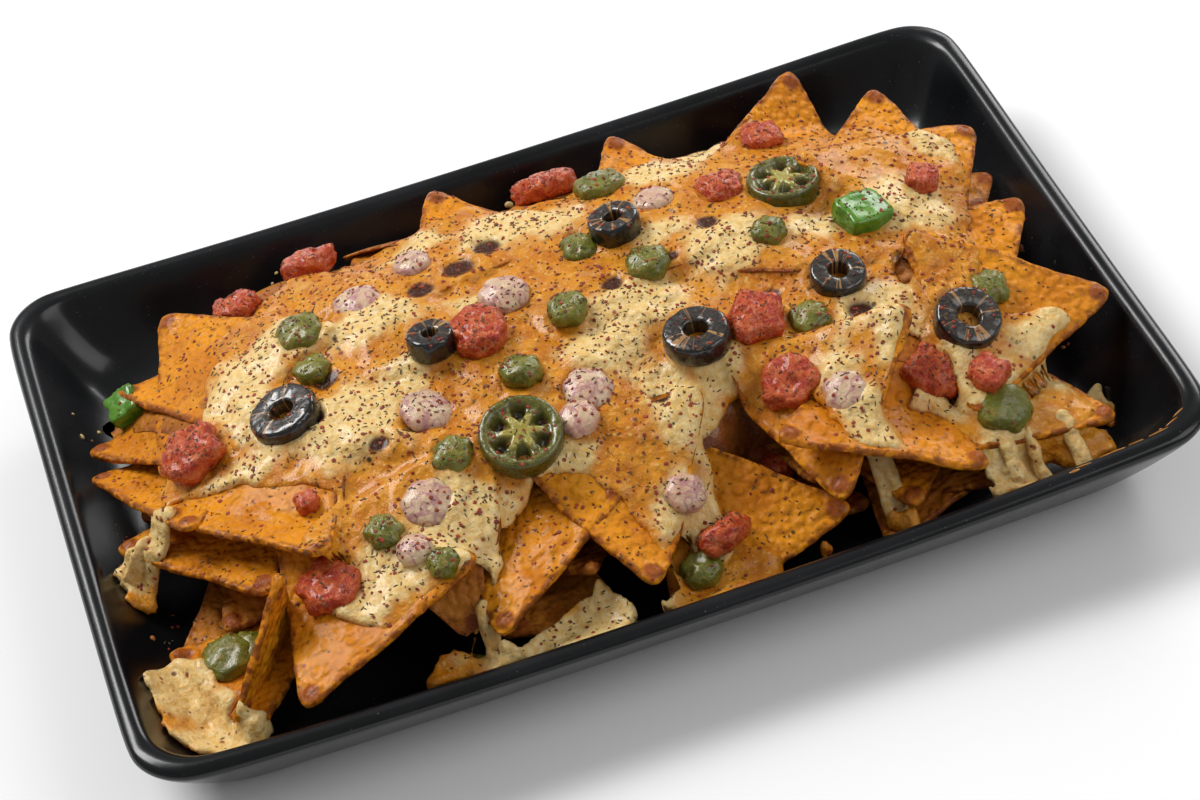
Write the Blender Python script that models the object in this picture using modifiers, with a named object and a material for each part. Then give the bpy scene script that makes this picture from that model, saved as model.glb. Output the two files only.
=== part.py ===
"""Baked nachos in a black tray.

A black glazed serving tray holds a heap of triangular tortilla chips under melted cheese,
with olive rings, pickled chilli rings, tomato dice, onion and green pepper on top.

The origin is on the table under the middle of the tray. +X runs along the long side, +Y runs
away from the diner and +Z points up. Sizes below are in millimetres; MM makes them metres.
"""
import math
import random

import bmesh
import bpy
from mathutils import Matrix, Vector
from mathutils.bvhtree import BVHTree

MM = 0.001

# Tray
TRAY_LENGTH = 260.0
TRAY_WIDTH = 174.0
CORNER_RADIUS = 15.0
LONG_SIDE_BOW = 1.0         # the long sides swell outwards by this at their middle
LONG_SIDE_DIP = 3.5         # the rim is lower by this at the middle of a long side
SHORT_SIDE_DIP = 2.0
CORNER_STEPS = 4
LONG_STEPS = 6
SHORT_STEPS = 4
# Inset from the outer edge and height above the table, from the underside round to the floor.
TRAY_PROFILE = (
    (17.0, 0.0), (15.4, 1.2), (9.0, 10.0), (3.6, 18.5), (0.8, 23.2), (0.0, 25.2),
    (0.9, 26.7), (2.8, 27.2), (4.8, 26.5), (5.9, 24.8), (9.2, 18.0), (13.6, 11.0),
    (18.2, 7.0), (24.0, 5.2),
)
RIM_HEIGHT = 27.2
FLOOR_HEIGHT = 5.0
INNER_WALL_START = 7        # index in TRAY_PROFILE of the crown of the rim
WALL_STEEPNESS = 1.6        # how fast the dip of the rim fades towards the floor
DIP_POWER = 2.5             # how evenly the rim curves down towards the middle of a side
LEAST_RADIUS = 6.0          # of the floor's corners
RADIUS_LOSS = 0.25          # the corners tighten by this for each millimetre of inset

# Heap: hidden bed of chips, and the melted cheese that runs over and between them
GAP = 0.3
MERGE = 0.004               # points of a cut that are closer than this become one
FLAT_ANGLE = 0.6            # neighbouring faces within this many degrees are one face
HEAP_HALF_LENGTH = 118.0
HEAP_HALF_WIDTH = 72.0
HEAP_SHIFT = 3.0            # the heap lies this far behind the middle of the tray
HEAP_EDGE_HEIGHT = 10.0
HEAP_RISE = 34.0
HEAP_END_POWER = 4.0        # how squarely the heap falls off at its ends
HEAP_SIDE_POWER = 2.6       # and at its long sides
HEAP_SHOULDER = 0.7         # below 1, the top is flat and the sides are steep
LUMP_HEIGHT = 1.1
LUMP_LENGTH = 9.0           # how far apart the lumps of the heap lie along the tray
LUMP_WIDTH = 7.5            # and across it
LUMP_SHIFT = 0.6
BED_HALF_LENGTH = 72.0
BED_HALF_WIDTH = 36.0
BED_DEPTH = 15.0            # the bed's top lies this far under the heap's top
BED_EDGE_RISE = 4.0         # and never lower than this over the tray's floor
CHEESE_HALF_LENGTH = 108.0
CHEESE_HALF_WIDTH = 66.0
OUTLINE_SQUARENESS = 3.6
OUTLINE_WAVES = ((7, 0.022, 1.0), (13, 0.018, 2.0))     # waves round, depth, start
BED_CLEARANCE = 0.8         # between the bed and the cheese, all round
CHEESE_EDGE = 2.0           # least thickness of the cheese on the tray
HEAP_STEPS = 36             # points round each ring of the heap
BED_SCALES = (1.0, 0.75, 0.4)
BED_UNDERSIDE_SCALES = (0.5, 1.0)
CHEESE_SCALES = (1.0, 0.93, 0.82, 0.64, 0.36)
CHEESE_UNDERSIDE_SCALES = (0.88, 0.95, 1.0)

# Tortilla chips
CHIP_THICKNESS = 1.9
CHIP_CORNER_RADIUS = 3.2

# name: tip (x, y, z), heading and rise of the chip from its tip, roll about that line,
# length of a side, and how far the sides bend up (+) or down (-) beside that line
CHIPS = {
    "chip_front_left": ((-89, -76, 23), 51, 11, -7, 56, -1.5),
    "chip_front_middle": ((-7, -76, 24), 84, 10, 15, 54, -4.0),
    "chip_front_right": ((74, -76, 26), 128, 12, 18, 54, -3.0),
    "chip_front_low": ((43, -67, 19), 164, -2, -28, 54, 2.0),
    "chip_right": ((122, -37, 29), 180, 10, -21, 56, 1.5),
    "chip_right_low": ((110, -66, 18), 150, 8, 3, 54, 1.5),
    "chip_back_right": ((115, 29, 33), 214, 10, -14, 54, -2.0),
    "chip_back_four": ((98, 51, 36), 254, -7, -14, 54, 1.0),
    "chip_back_three": ((81, 67, 37), 246, -17, -30, 54, 1.5),
    "chip_back_two": ((31, 64, 37), 274, -8, -16, 54, 2.0),
    "chip_back_one": ((-17, 66, 36), 278, -6, -6, 54, 2.0),
    "chip_left_high": ((-91, 57, 31), -74, 2, 18, 61, 2.0),
    "chip_left_upper": ((-107, -13, 31), -17, 5, -16, 54, -3.0),
    "chip_left_lower": ((-118, -6, 19), -22, 10, -10, 54, -2.5),
    "chip_left_three": ((-119, 20, 20), -38, 10, -16, 54, 1.5),
    "chip_left_two": ((-118, 29, 20), -22, 8, -16, 54, 1.5),
    "chip_left_one": ((-107, 39, 27), -30, 2, -18, 50, 1.0),
    "chip_on_edge": ((-104, -68, 18), 52, 10, 100, 38, 1.0),
    "chip_pocket": ((57, -74, 21), 80, -8, 0, 54, 2.0),
    "chip_arch": ((41, -72, 27), 80, 22, -20, 54, -5.0),
    "chip_right_small": ((116, 1, 30), 210, 2, -10, 48, 1.5),
    "chip_corner_low": ((-114, -37, 12), -40, 5, 0, 42, 1.0),
    "chip_front_small": ((-42, -73, 22), 62, 12, -10, 50, -3.0),
}

# Toppings: x, y, size across, then lean in degrees and the heading that the top leans to
OLIVES = (
    (-72, -4, 16.4, 22, 160), (-34, 0, 10.8, 30, 60), (19, 21, 12.6, 10, 250),
    (24, -24, 15.6, 18, 95), (62, -17, 13.4, 14, 270), (85, -40, 15.6, 26, 300),
)
OLIVE_THICKNESS = 5.4
OLIVE_HOLE = 0.36           # of the ring's diameter
OLIVE_STEPS = 14
CHILLI_RINGS = ((-23, -34, 19.7, 8, 265), (62, 20, 18.0, 5, 100))
CHILLI_THICKNESS = 5.4
CHILLI_TAPER = 0.97         # width of the slice's top against its base
CHILLI_WALL = 0.13          # of the ring's diameter
CHILLI_POCKETS = 6
POCKET_RADII = (1.7, 2.0)   # of a pocket's floor and mouth
POCKET_MARGIN = 2.1         # from the wall to the middle of a pocket
POCKET_RISE = 3.4           # the middle of a pocket's cutter lies this far over the slice's
TOMATOES = (
    (-95, -1, 13.5, 20, 250), (-73, 50, 10.5, 10, 120), (-53, 58, 11.5, 12, 90),
    (11, 60, 13.5, 25, 80), (-23, -1, 13.5, 12, 270), (13, -64, 11.5, 20, 270),
    (48, 26, 10.0, 8, 200), (39, -24, 12.5, 18, 300), (40, -42, 10.8, 15, 270),
    (73, -47, 10.8, 10, 240), (-76, -50, 12.5, 8, 230),
)
ONIONS = (
    (-48, -41, 13.4, 16, 280), (-13, 10, 12.0, 20, 270), (-46, 28, 12.4, 12, 120),
    (31, 30, 11.5, 8, 80), (-4, -27, 13.0, 10, 260), (50, -52, 11.0, 24, 270),
)
PUCK_PROFILE = ((0.72, -0.5), (1.0, -0.3), (1.0, 0.28), (0.78, 0.5))    # radius, height
ONION_THICKNESS = 5.2
ONION_LOBES = 9
PEPPERS = (
    (-62, 22, 11.5, 12, 200), (-1, -3, 9.8, 14, 280), (-17, -17, 9.0, 12, 250),
    (-39, -33, 9.0, 16, 300), (22, 44, 11.5, 8, 80), (76, 2, 13.0, 12, 250),
    (-107, 35, 9.4, 18, 190), (85, -61, 12.5, 22, 290), (-102, -47, 12.0, 10, 200),
)
PEPPER_THICKNESS = 6.4
PEPPER_LOBES = 7
DICE_SOFTNESS = 0.14        # bevel of a die's edges, of its size
DICE_FLATNESS = 0.72        # its height against its width
DICE_UNEVENNESS = 0.05
SINK = 1.6                  # how deep a topping sits in what it lies on

# Hollows under raised chips: centre and half-sizes
HOLLOWS = (
    ((33, -51, 21), (14, 18, 10)),
    ((-22, -60, 17), (13, 15, 9)),
    ((60, -67, 17), (13, 10, 6)),
    ((-102, -33, 14), (17, 14, 8)),
)

COLOURS = {
    "tray_glaze": ((0.012, 0.013, 0.016), 0.22, 0.0),
    "tortilla": ((0.78, 0.33, 0.06), 0.45, 0.0),
    "chip_bed": ((0.62, 0.27, 0.06), 0.60, 0.0),
    "cheese": ((0.86, 0.66, 0.30), 0.32, 0.0),
    "olive": ((0.018, 0.017, 0.016), 0.25, 0.0),
    "pickled_chilli": ((0.16, 0.17, 0.025), 0.30, 0.0),
    "tomato": ((0.60, 0.055, 0.02), 0.28, 0.0),
    "onion": ((0.72, 0.45, 0.45), 0.35, 0.0),
    "green_pepper": ((0.14, 0.24, 0.02), 0.32, 0.0),
}


# ---------------------------------------------------------------- scene helpers
def clear_scene():
    for obj in list(bpy.data.objects):
        bpy.data.objects.remove(obj)


def make_collection(name):
    collection = bpy.data.collections.new(name)
    bpy.context.scene.collection.children.link(collection)
    return collection


def make_material(name):
    colour, roughness, metallic = COLOURS[name]
    material = bpy.data.materials.new(name)
    material.use_nodes = True
    shader = material.node_tree.nodes["Principled BSDF"]
    shader.inputs["Base Color"].default_value = (*colour, 1.0)
    shader.inputs["Roughness"].default_value = roughness
    shader.inputs["Metallic"].default_value = metallic
    return material


def add_object(name, shape, collection, material=None):
    """Turn a bmesh in millimetres into an object in metres."""
    bmesh.ops.scale(shape, vec=(MM, MM, MM), verts=shape.verts)
    bmesh.ops.recalc_face_normals(shape, faces=shape.faces)
    mesh = bpy.data.meshes.new(name)
    shape.to_mesh(mesh)
    shape.free()
    obj = bpy.data.objects.new(name, mesh)
    collection.objects.link(obj)
    if material is not None:
        mesh.materials.append(material)
    return obj


def evaluated_shape(obj):
    """The object's finished mesh in world space, in metres."""
    bpy.context.view_layer.update()
    graph = bpy.context.evaluated_depsgraph_get()
    shape = bmesh.new()
    shape.from_mesh(obj.evaluated_get(graph).to_mesh())
    bmesh.ops.triangulate(shape, faces=shape.faces)
    bmesh.ops.transform(shape, matrix=obj.matrix_world, verts=shape.verts)
    return shape


# ---------------------------------------------------------------- tray
def side_point(x, y, inset, height):
    """Lower a point of the tray's outline by the rim's dip, and swell the long sides."""
    half_length = TRAY_LENGTH / 2 - inset
    half_width = TRAY_WIDTH / 2 - inset
    along = min(1.0, abs(x) / half_length)
    across = min(1.0, abs(y) / half_width)
    dip = LONG_SIDE_DIP * (1 - along ** DIP_POWER)
    dip += SHORT_SIDE_DIP * (1 - across ** DIP_POWER)
    lift = (height / RIM_HEIGHT) ** WALL_STEEPNESS
    bow = LONG_SIDE_BOW * (1 - along ** 2) * math.copysign(across ** 4, y)
    return Vector((x, y + bow, height - dip * lift))


def tray_ring(inset, height):
    """One rounded rectangle of the tray, with extra points along its sides."""
    half_length = TRAY_LENGTH / 2 - inset
    half_width = TRAY_WIDTH / 2 - inset
    radius = max(CORNER_RADIUS - RADIUS_LOSS * inset, LEAST_RADIUS)
    points = []
    for quarter in range(4):
        sign_x = 1 if quarter in (0, 3) else -1
        sign_y = 1 if quarter in (0, 1) else -1
        centre = Vector((sign_x * (half_length - radius), sign_y * (half_width - radius)))
        for step in range(CORNER_STEPS + 1):
            angle = math.radians(90 * (quarter + step / CORNER_STEPS))
            points.append(centre + radius * Vector((math.cos(angle), math.sin(angle))))
        steps = LONG_STEPS if quarter in (0, 2) else SHORT_STEPS
        across = quarter in (0, 2)
        far = half_length - radius if across else half_width - radius
        for step in range(1, steps):
            reach = far * (1 - 2 * step / steps)
            if across:
                points.append(Vector((sign_x * reach, sign_y * half_width)))
            else:
                points.append(Vector((sign_x * half_length, sign_y * reach)))
    return [side_point(point.x, point.y, inset, height) for point in points]


def loft(shape, rings):
    """Join rings of equal length with quads, and cap both ends."""
    loops = [[shape.verts.new(point) for point in ring] for ring in rings]
    count = len(loops[0])
    for lower, upper in zip(loops, loops[1:]):
        for i in range(count):
            j = (i + 1) % count
            shape.faces.new((lower[i], lower[j], upper[j], upper[i]))
    shape.faces.new(loops[0][::-1])
    shape.faces.new(loops[-1])


def build_tray(collection, material):
    shape = bmesh.new()
    loft(shape, [tray_ring(inset, height) for inset, height in TRAY_PROFILE])
    tray = add_object("tray", shape, collection, material)
    tray.data.shade_smooth()
    return tray


def wall_height(x, y):
    """Height of the tray's inner surface over a point of the table."""
    inset = min(TRAY_LENGTH / 2 - abs(x), TRAY_WIDTH / 2 - abs(y))
    inner = TRAY_PROFILE[INNER_WALL_START:]
    for (inset_a, height_a), (inset_b, height_b) in zip(inner, inner[1:]):
        if inset < inset_b:
            share = max(0.0, (inset - inset_a) / (inset_b - inset_a))
            return height_a + share * (height_b - height_a)
    return inner[-1][1]


# ---------------------------------------------------------------- heap
def heap_height(x, y):
    spread = (abs(x) / HEAP_HALF_LENGTH) ** HEAP_END_POWER
    spread += (abs(y - HEAP_SHIFT) / HEAP_HALF_WIDTH) ** HEAP_SIDE_POWER
    swell = max(0.0, 1 - spread) ** HEAP_SHOULDER
    lumps = math.sin(x / LUMP_LENGTH + LUMP_SHIFT) * math.cos(y / LUMP_WIDTH)
    return HEAP_EDGE_HEIGHT + HEAP_RISE * swell + LUMP_HEIGHT * lumps * min(1.0, 2 * swell)


def outline_point(angle, half_length, half_width, scale):
    """A point on an uneven, squarish oval."""
    c = math.cos(angle)
    s = math.sin(angle)
    power = 2 / OUTLINE_SQUARENESS
    uneven = 1 + sum(depth * math.sin(waves * angle + start)
                     for waves, depth, start in OUTLINE_WAVES)
    x = half_length * uneven * scale * math.copysign(abs(c) ** power, c)
    y = half_width * uneven * scale * math.copysign(abs(s) ** power, s)
    return x, y + HEAP_SHIFT * scale


def heap_ring(half_length, half_width, scale, height):
    ring = []
    for step in range(HEAP_STEPS):
        angle = 2 * math.pi * step / HEAP_STEPS
        x, y = outline_point(angle, half_length, half_width, scale)
        ring.append((x, y, height(x, y)))
    return ring


def bed_top(x, y):
    return max(FLOOR_HEIGHT + BED_EDGE_RISE, heap_height(x, y) - BED_DEPTH)


def cheese_underside(x, y):
    return bed_top(x, y) + BED_CLEARANCE


def cheese_top(x, y):
    return max(wall_height(x, y) + CHEESE_EDGE, heap_height(x, y))


def floor_clear(x, y):
    return wall_height(x, y) + 2 * GAP


def close_heap(name, rings, low, high, collection, material):
    """Loft the rings, and raise a hub in the middle of each end."""
    shape = bmesh.new()
    loft(shape, rings)
    caps = [face for face in shape.faces if len(face.verts) == HEAP_STEPS]
    for face, height in zip(caps, (low, high)):
        hub = bmesh.ops.poke(shape, faces=[face])["verts"][0]
        hub.co.x = 0.0
        hub.co.y = 0.0
        hub.co.z = height(0.0, 0.0)
    bmesh.ops.triangulate(shape, faces=shape.faces)
    return add_object(name, shape, collection, material)


def build_bed(collection, material):
    """The hidden lower chips, as one lump on the tray's floor."""
    size = (BED_HALF_LENGTH, BED_HALF_WIDTH)
    rings = [heap_ring(*size, scale, floor_clear) for scale in BED_UNDERSIDE_SCALES]
    rings += [heap_ring(*size, scale, bed_top) for scale in BED_SCALES]
    return close_heap("chip_bed", rings, floor_clear, bed_top, collection, material)


def build_cheese(collection, material):
    """Cheese that covers the bed and runs down round it to the tray."""
    outer = (CHEESE_HALF_LENGTH, CHEESE_HALF_WIDTH)
    inner = (BED_HALF_LENGTH + BED_CLEARANCE, BED_HALF_WIDTH + BED_CLEARANCE)
    rings = [heap_ring(*inner, scale, cheese_underside) for scale in reversed(BED_SCALES)]
    rings.append(heap_ring(*inner, 1.0, floor_clear))
    rings += [heap_ring(*outer, scale, floor_clear) for scale in CHEESE_UNDERSIDE_SCALES]
    rings += [heap_ring(*outer, scale, cheese_top) for scale in CHEESE_SCALES]
    return close_heap(
        "melted_cheese", rings, cheese_underside, cheese_top, collection, material)


# ---------------------------------------------------------------- chips
def rounded_triangle(side):
    """Outline of a chip: its tip at the origin, its body along +X."""
    height = side * math.sqrt(3) / 2
    corners = (Vector((0, 0)), Vector((height, -side / 2)), Vector((height, side / 2)))
    middle = sum(corners, Vector((0, 0))) / 3
    points = []
    for index, corner in enumerate(corners):
        inwards = (middle - corner).normalized()
        centre = corner + inwards * 2 * CHIP_CORNER_RADIUS
        outwards = math.atan2(-inwards.y, -inwards.x)
        for step in range(3):
            angle = outwards + math.radians(-60 + 60 * step)
            reach = CHIP_CORNER_RADIUS * Vector((math.cos(angle), math.sin(angle)))
            points.append(centre + reach)
        following = corners[(index + 1) % 3]
        points.append((corner + following) / 2)
    shift = Vector((CHIP_CORNER_RADIUS, 0))
    return [point - shift for point in points], middle - shift


def build_chip(name, spec, collection, material):
    tip, heading, rise, roll, side, bend = spec
    outline, middle = rounded_triangle(side)
    shape = bmesh.new()

    def add_point(point):
        return shape.verts.new((point.x, point.y, bend * (point.y / (side / 2)) ** 2))

    rim = [add_point(point) for point in outline]
    hub = add_point(middle)
    for first, second in zip(rim, rim[1:] + rim[:1]):
        shape.faces.new((first, second, hub))
    chip = add_object(name, shape, collection, material)
    chip.location = Vector(tip) * MM
    chip.rotation_euler = [math.radians(a) for a in (roll, -rise, heading)]
    wall = chip.modifiers.new("thickness", "SOLIDIFY")
    wall.thickness = CHIP_THICKNESS * MM
    wall.offset = 0.0
    wall.use_even_offset = True
    return chip


# ---------------------------------------------------------------- toppings
def topping_matrix(x, y, z, lean, heading, turn):
    """Place a topping, its top leaning by `lean` degrees towards `heading`."""
    axis = Vector((-math.sin(math.radians(heading)), math.cos(math.radians(heading)), 0))
    tilt = Matrix.Rotation(math.radians(lean), 4, axis)
    spin = Matrix.Rotation(turn, 4, "Z")
    return Matrix.Translation(Vector((x, y, z)) * MM) @ tilt @ spin


def puck(diameter, thickness, lobes, depth, steps):
    """A low round slice with a softened rim and a lobed edge."""
    shape = bmesh.new()
    rings = []
    for scale, height in PUCK_PROFILE:
        ring = []
        for step in range(steps):
            angle = 2 * math.pi * step / steps
            radius = diameter / 2 * scale * (1 + depth * math.cos(lobes * angle))
            ring.append((radius * math.cos(angle), radius * math.sin(angle), height * thickness))
        rings.append(ring)
    loft(shape, rings)
    return shape


def olive_ring(diameter):
    """A turned ring with rounded rims."""
    hole = diameter * OLIVE_HOLE / 2
    rim = diameter / 2
    half = OLIVE_THICKNESS / 2
    profile = (
        (hole, -half), (rim * 0.88, -half), (rim, -half * 0.6),
        (rim, half * 0.6), (rim * 0.88, half), (hole, half),
    )
    shape = bmesh.new()
    verts = [shape.verts.new((radius, 0, height)) for radius, height in profile]
    edges = [shape.edges.new((verts[i - 1], verts[i])) for i in range(len(verts))]
    bmesh.ops.spin(
        shape, geom=verts + edges, cent=(0, 0, 0), axis=(0, 0, 1),
        angle=2 * math.pi, steps=OLIVE_STEPS, use_merge=True,
    )
    bmesh.ops.remove_doubles(shape, verts=shape.verts, dist=0.01)
    return shape


def chilli_slice(diameter):
    shape = bmesh.new()
    bmesh.ops.create_cone(
        shape, cap_ends=True, segments=18, radius1=diameter / 2,
        radius2=diameter / 2 * CHILLI_TAPER, depth=CHILLI_THICKNESS,
    )
    return shape


def chilli_pockets(diameter):
    """The seed pockets of a chilli slice, open at its top."""
    shape = bmesh.new()
    wall = diameter * CHILLI_WALL
    reach = diameter / 2 - wall - POCKET_MARGIN
    for index in range(CHILLI_POCKETS):
        angle = 2 * math.pi * index / CHILLI_POCKETS
        place = Matrix.Translation(
            (reach * math.cos(angle), reach * math.sin(angle), POCKET_RISE))
        bmesh.ops.create_cone(
            shape, cap_ends=True, segments=6, radius1=POCKET_RADII[0],
            radius2=POCKET_RADII[1], depth=CHILLI_THICKNESS, matrix=place,
        )
    return shape


def dice(size, rng):
    """An uneven cube of tomato or pepper with softened edges."""
    shape = bmesh.new()
    bmesh.ops.create_cube(shape, size=size)
    bmesh.ops.bevel(
        shape, geom=list(shape.edges), offset=size * DICE_SOFTNESS, segments=1,
        affect="EDGES", profile=0.5,
    )
    for vert in shape.verts:
        vert.co.z *= DICE_FLATNESS
        vert.co += size * DICE_UNEVENNESS * Vector([rng.uniform(-1, 1) for _ in range(3)])
    return shape


# ---------------------------------------------------------------- clearing overlaps
def biggest_piece(shape):
    """Keep the largest connected piece of a mesh that a cut may have split."""
    left = set(shape.faces)
    pieces = []
    while left:
        start = left.pop()
        piece = {start}
        front = [start]
        while front:
            face = front.pop()
            for edge in face.edges:
                for other in edge.link_faces:
                    if other in left:
                        left.discard(other)
                        piece.add(other)
                        front.append(other)
        pieces.append(piece)
    keep = max(pieces, key=lambda piece: sum(face.calc_area() for face in piece))
    doomed = [face for face in shape.faces if face not in keep]
    bmesh.ops.delete(shape, geom=doomed, context="FACES")


def grown_copy(obj, collection):
    """A slightly larger copy of a piece, to cut its neighbours with."""
    shape = evaluated_shape(obj)
    bmesh.ops.remove_doubles(shape, verts=shape.verts, dist=1e-7)
    shape.normal_update()
    moves = [vert.normal * vert.calc_shell_factor() * GAP * MM for vert in shape.verts]
    for vert, move in zip(shape.verts, moves):
        if move.length > 2 * GAP * MM:
            move = move.normalized() * 2 * GAP * MM
        vert.co += move
    mesh = bpy.data.meshes.new(obj.name + "_cutter")
    shape.to_mesh(mesh)
    shape.free()
    cutter = bpy.data.objects.new(mesh.name, mesh)
    cutter.hide_render = True
    cutter.display_type = "WIRE"
    collection.objects.link(cutter)
    return cutter


def touches(obj, cutter):
    trees = []
    for thing in (obj, cutter):
        shape = evaluated_shape(thing)
        trees.append(BVHTree.FromBMesh(shape))
        shape.free()
    return bool(trees[0].overlap(trees[1]))


def tidy_cut(shape):
    """Merge the slivers that a cut leaves on flat faces."""
    bmesh.ops.remove_doubles(shape, verts=shape.verts, dist=MERGE * MM)
    bmesh.ops.dissolve_limit(
        shape, angle_limit=math.radians(FLAT_ANGLE), verts=shape.verts, edges=shape.edges)
    bmesh.ops.triangulate(shape, faces=shape.faces)
    bmesh.ops.dissolve_degenerate(shape, dist=MERGE * MM, edges=shape.edges)
    bmesh.ops.triangulate(shape, faces=shape.faces)


def cut_away(obj, cutters):
    """Cut the cutters out of a piece, and leave its largest part as a plain mesh."""
    near = [cutter for cutter in cutters if touches(obj, cutter)]
    if not near:
        return
    for cutter in near:
        cut = obj.modifiers.new("cut", "BOOLEAN")
        cut.operation = "DIFFERENCE"
        cut.solver = "MANIFOLD"     # the chained cuts of the heap are too many for EXACT
        cut.object = cutter
    shape = evaluated_shape(obj)
    tidy_cut(shape)
    biggest_piece(shape)
    bmesh.ops.transform(shape, matrix=obj.matrix_world.inverted(), verts=shape.verts)
    obj.modifiers.clear()
    shape.to_mesh(obj.data)
    shape.free()


def surface_height(x, y, trees):
    """Height in millimetres of the highest surface over a point."""
    best = 0.0
    for tree in trees:
        hit = tree.ray_cast(Vector((x * MM, y * MM, 0.2)), Vector((0, 0, -1)))[0]
        if hit is not None:
            best = max(best, hit.z / MM)
    return best


# ---------------------------------------------------------------- assembly
def add_toppings(parts, guides, materials, trees):
    """Set every topping on what lies under it, and return them in order."""
    rng = random.Random(7)
    made = []

    def settle(name, shape, spec, thickness, material):
        x, y, size, lean, heading = spec
        reach = size * 0.3
        spots = ((0, 0), (reach, 0), (-reach, 0), (0, reach), (0, -reach))
        heights = sorted(surface_height(x + dx, y + dy, trees) for dx, dy in spots)
        rest = (heights[2] + heights[3]) / 2
        topping = add_object(name, shape, parts, materials[material])
        topping.matrix_world = topping_matrix(
            x, y, rest + thickness / 2 - SINK, lean, heading, rng.uniform(0, 6.28))
        made.append(topping)
        return topping

    for index, spec in enumerate(OLIVES):
        shape = olive_ring(spec[2])
        settle(f"olive_{index + 1:02d}", shape, spec, OLIVE_THICKNESS, "olive")
    for index, spec in enumerate(CHILLI_RINGS):
        name = f"pickled_chilli_{index + 1:02d}"
        ring = settle(name, chilli_slice(spec[2]), spec, CHILLI_THICKNESS, "pickled_chilli")
        pockets = add_object(name + "_pockets", chilli_pockets(spec[2]), guides)
        pockets.matrix_world = ring.matrix_world.copy()
        pockets.hide_render = True
        pockets.display_type = "WIRE"
        cut_away(ring, [pockets])
    for index, spec in enumerate(TOMATOES):
        shape = dice(spec[2] * 0.92, rng)
        settle(f"tomato_{index + 1:02d}", shape, spec, spec[2] * 0.66, "tomato")
    for index, spec in enumerate(ONIONS):
        shape = puck(spec[2], ONION_THICKNESS, ONION_LOBES, 0.04, steps=11)
        settle(f"onion_{index + 1:02d}", shape, spec, ONION_THICKNESS, "onion")
    for index, spec in enumerate(PEPPERS):
        shape = puck(spec[2], PEPPER_THICKNESS, PEPPER_LOBES, 0.08, steps=12)
        settle(f"green_pepper_{index + 1:02d}", shape, spec, PEPPER_THICKNESS, "green_pepper")
    return made


def add_hollows(guides):
    """Cutters for the hollows that stay open under the raised chips."""
    hollows = []
    for index, (centre, half) in enumerate(HOLLOWS):
        shape = bmesh.new()
        bmesh.ops.create_icosphere(shape, subdivisions=2, radius=1.0)
        bmesh.ops.scale(shape, vec=half, verts=shape.verts)
        bmesh.ops.translate(shape, vec=centre, verts=shape.verts)
        hollow = add_object(f"hollow_{index + 1}", shape, guides)
        hollow.hide_render = True
        hollow.display_type = "WIRE"
        hollows.append(hollow)
    return hollows


def main():
    clear_scene()
    parts = make_collection("nachos")
    guides = make_collection("cutters")
    materials = {name: make_material(name) for name in COLOURS}

    tray = build_tray(parts, materials["tray_glaze"])
    bed = build_bed(parts, materials["chip_bed"])
    cheese = build_cheese(parts, materials["cheese"])
    chips = [build_chip(name, spec, parts, materials["tortilla"])
             for name, spec in CHIPS.items()]

    trees = []
    for piece in [cheese] + chips:
        shape = evaluated_shape(piece)
        trees.append(BVHTree.FromBMesh(shape))
        shape.free()
    toppings = add_toppings(parts, guides, materials, trees)

    # Whole chips cut the heap, and the heap cuts the undersides of the toppings.
    tray_cutter = grown_copy(tray, guides)
    chip_cutters = []
    for chip in chips:
        cutter = grown_copy(chip, guides)
        cut_away(chip, [tray_cutter] + chip_cutters)
        chip_cutters.append(cutter)
    cutters = [tray_cutter, grown_copy(cheese, guides)] + chip_cutters
    hollows = add_hollows(guides)
    for lump in (bed, cheese):
        cut_away(lump, chip_cutters + hollows)
    for topping in toppings:
        cutter = grown_copy(topping, guides)
        cut_away(topping, cutters)
        cutters.append(cutter)


main()
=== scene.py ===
"""The looks of a black tray of baked nachos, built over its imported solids.

Every piece takes its place from the frame. Lengths are in millimetres until a mesh is placed, and
MM makes them metres. +X runs along the tray, +Y away from the diner and +Z up.
"""

import math
import random

import bmesh
import bpy
import numpy as np
from mathutils import Matrix, Vector
from mathutils.bvhtree import BVHTree


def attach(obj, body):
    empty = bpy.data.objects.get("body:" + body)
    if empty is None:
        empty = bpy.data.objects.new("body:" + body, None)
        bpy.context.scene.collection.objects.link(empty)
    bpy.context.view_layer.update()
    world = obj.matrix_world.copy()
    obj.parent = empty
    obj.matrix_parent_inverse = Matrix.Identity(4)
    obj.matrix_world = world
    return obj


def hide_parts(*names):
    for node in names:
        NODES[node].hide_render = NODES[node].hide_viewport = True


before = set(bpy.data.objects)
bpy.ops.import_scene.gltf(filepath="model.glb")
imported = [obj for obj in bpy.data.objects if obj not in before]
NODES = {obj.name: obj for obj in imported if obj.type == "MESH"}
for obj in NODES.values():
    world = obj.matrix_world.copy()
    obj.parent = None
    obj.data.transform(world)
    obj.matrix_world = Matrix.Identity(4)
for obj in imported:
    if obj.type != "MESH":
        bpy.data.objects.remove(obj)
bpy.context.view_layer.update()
MM = 0.001

# ---------------------------------------------------------------- driving sizes
CHIP_THICKNESS = 1.7
CHIP_CORNER = 3.2
BLANK_SIDE = 54.0
BLANKS = 4                   # different chip shapes that are modelled, then copied
FINE_CUTS = 13               # cuts across a chip that is seen whole
LIGHT_CUTS = 8               # cuts across a chip that is mostly covered
KNOB_RADIUS = 2.3            # the small knob on each of a chip's corners
KNOB_RISE = 0.75
CHIP_REST = 0.6              # gap between a chip's middle and the mound
INNER_CHIPS = 44             # places for chips inside the heap; those over a hollow stay empty
INNER_ROOF = 17.0            # inner chips keep below the mound, or below this near its foot
INNER_REACH = (0.86, 0.80)   # their spread, as shares of the mound's half-sizes
OUTER_CHIPS = 16             # more chips round the heap's foot
OUTER_REACH = (86.0, 44.0)   # half-sizes of the ring that they lie on
MOST_BEND = 0.012            # a chip's rise over the square of its half-width, per mm
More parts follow.
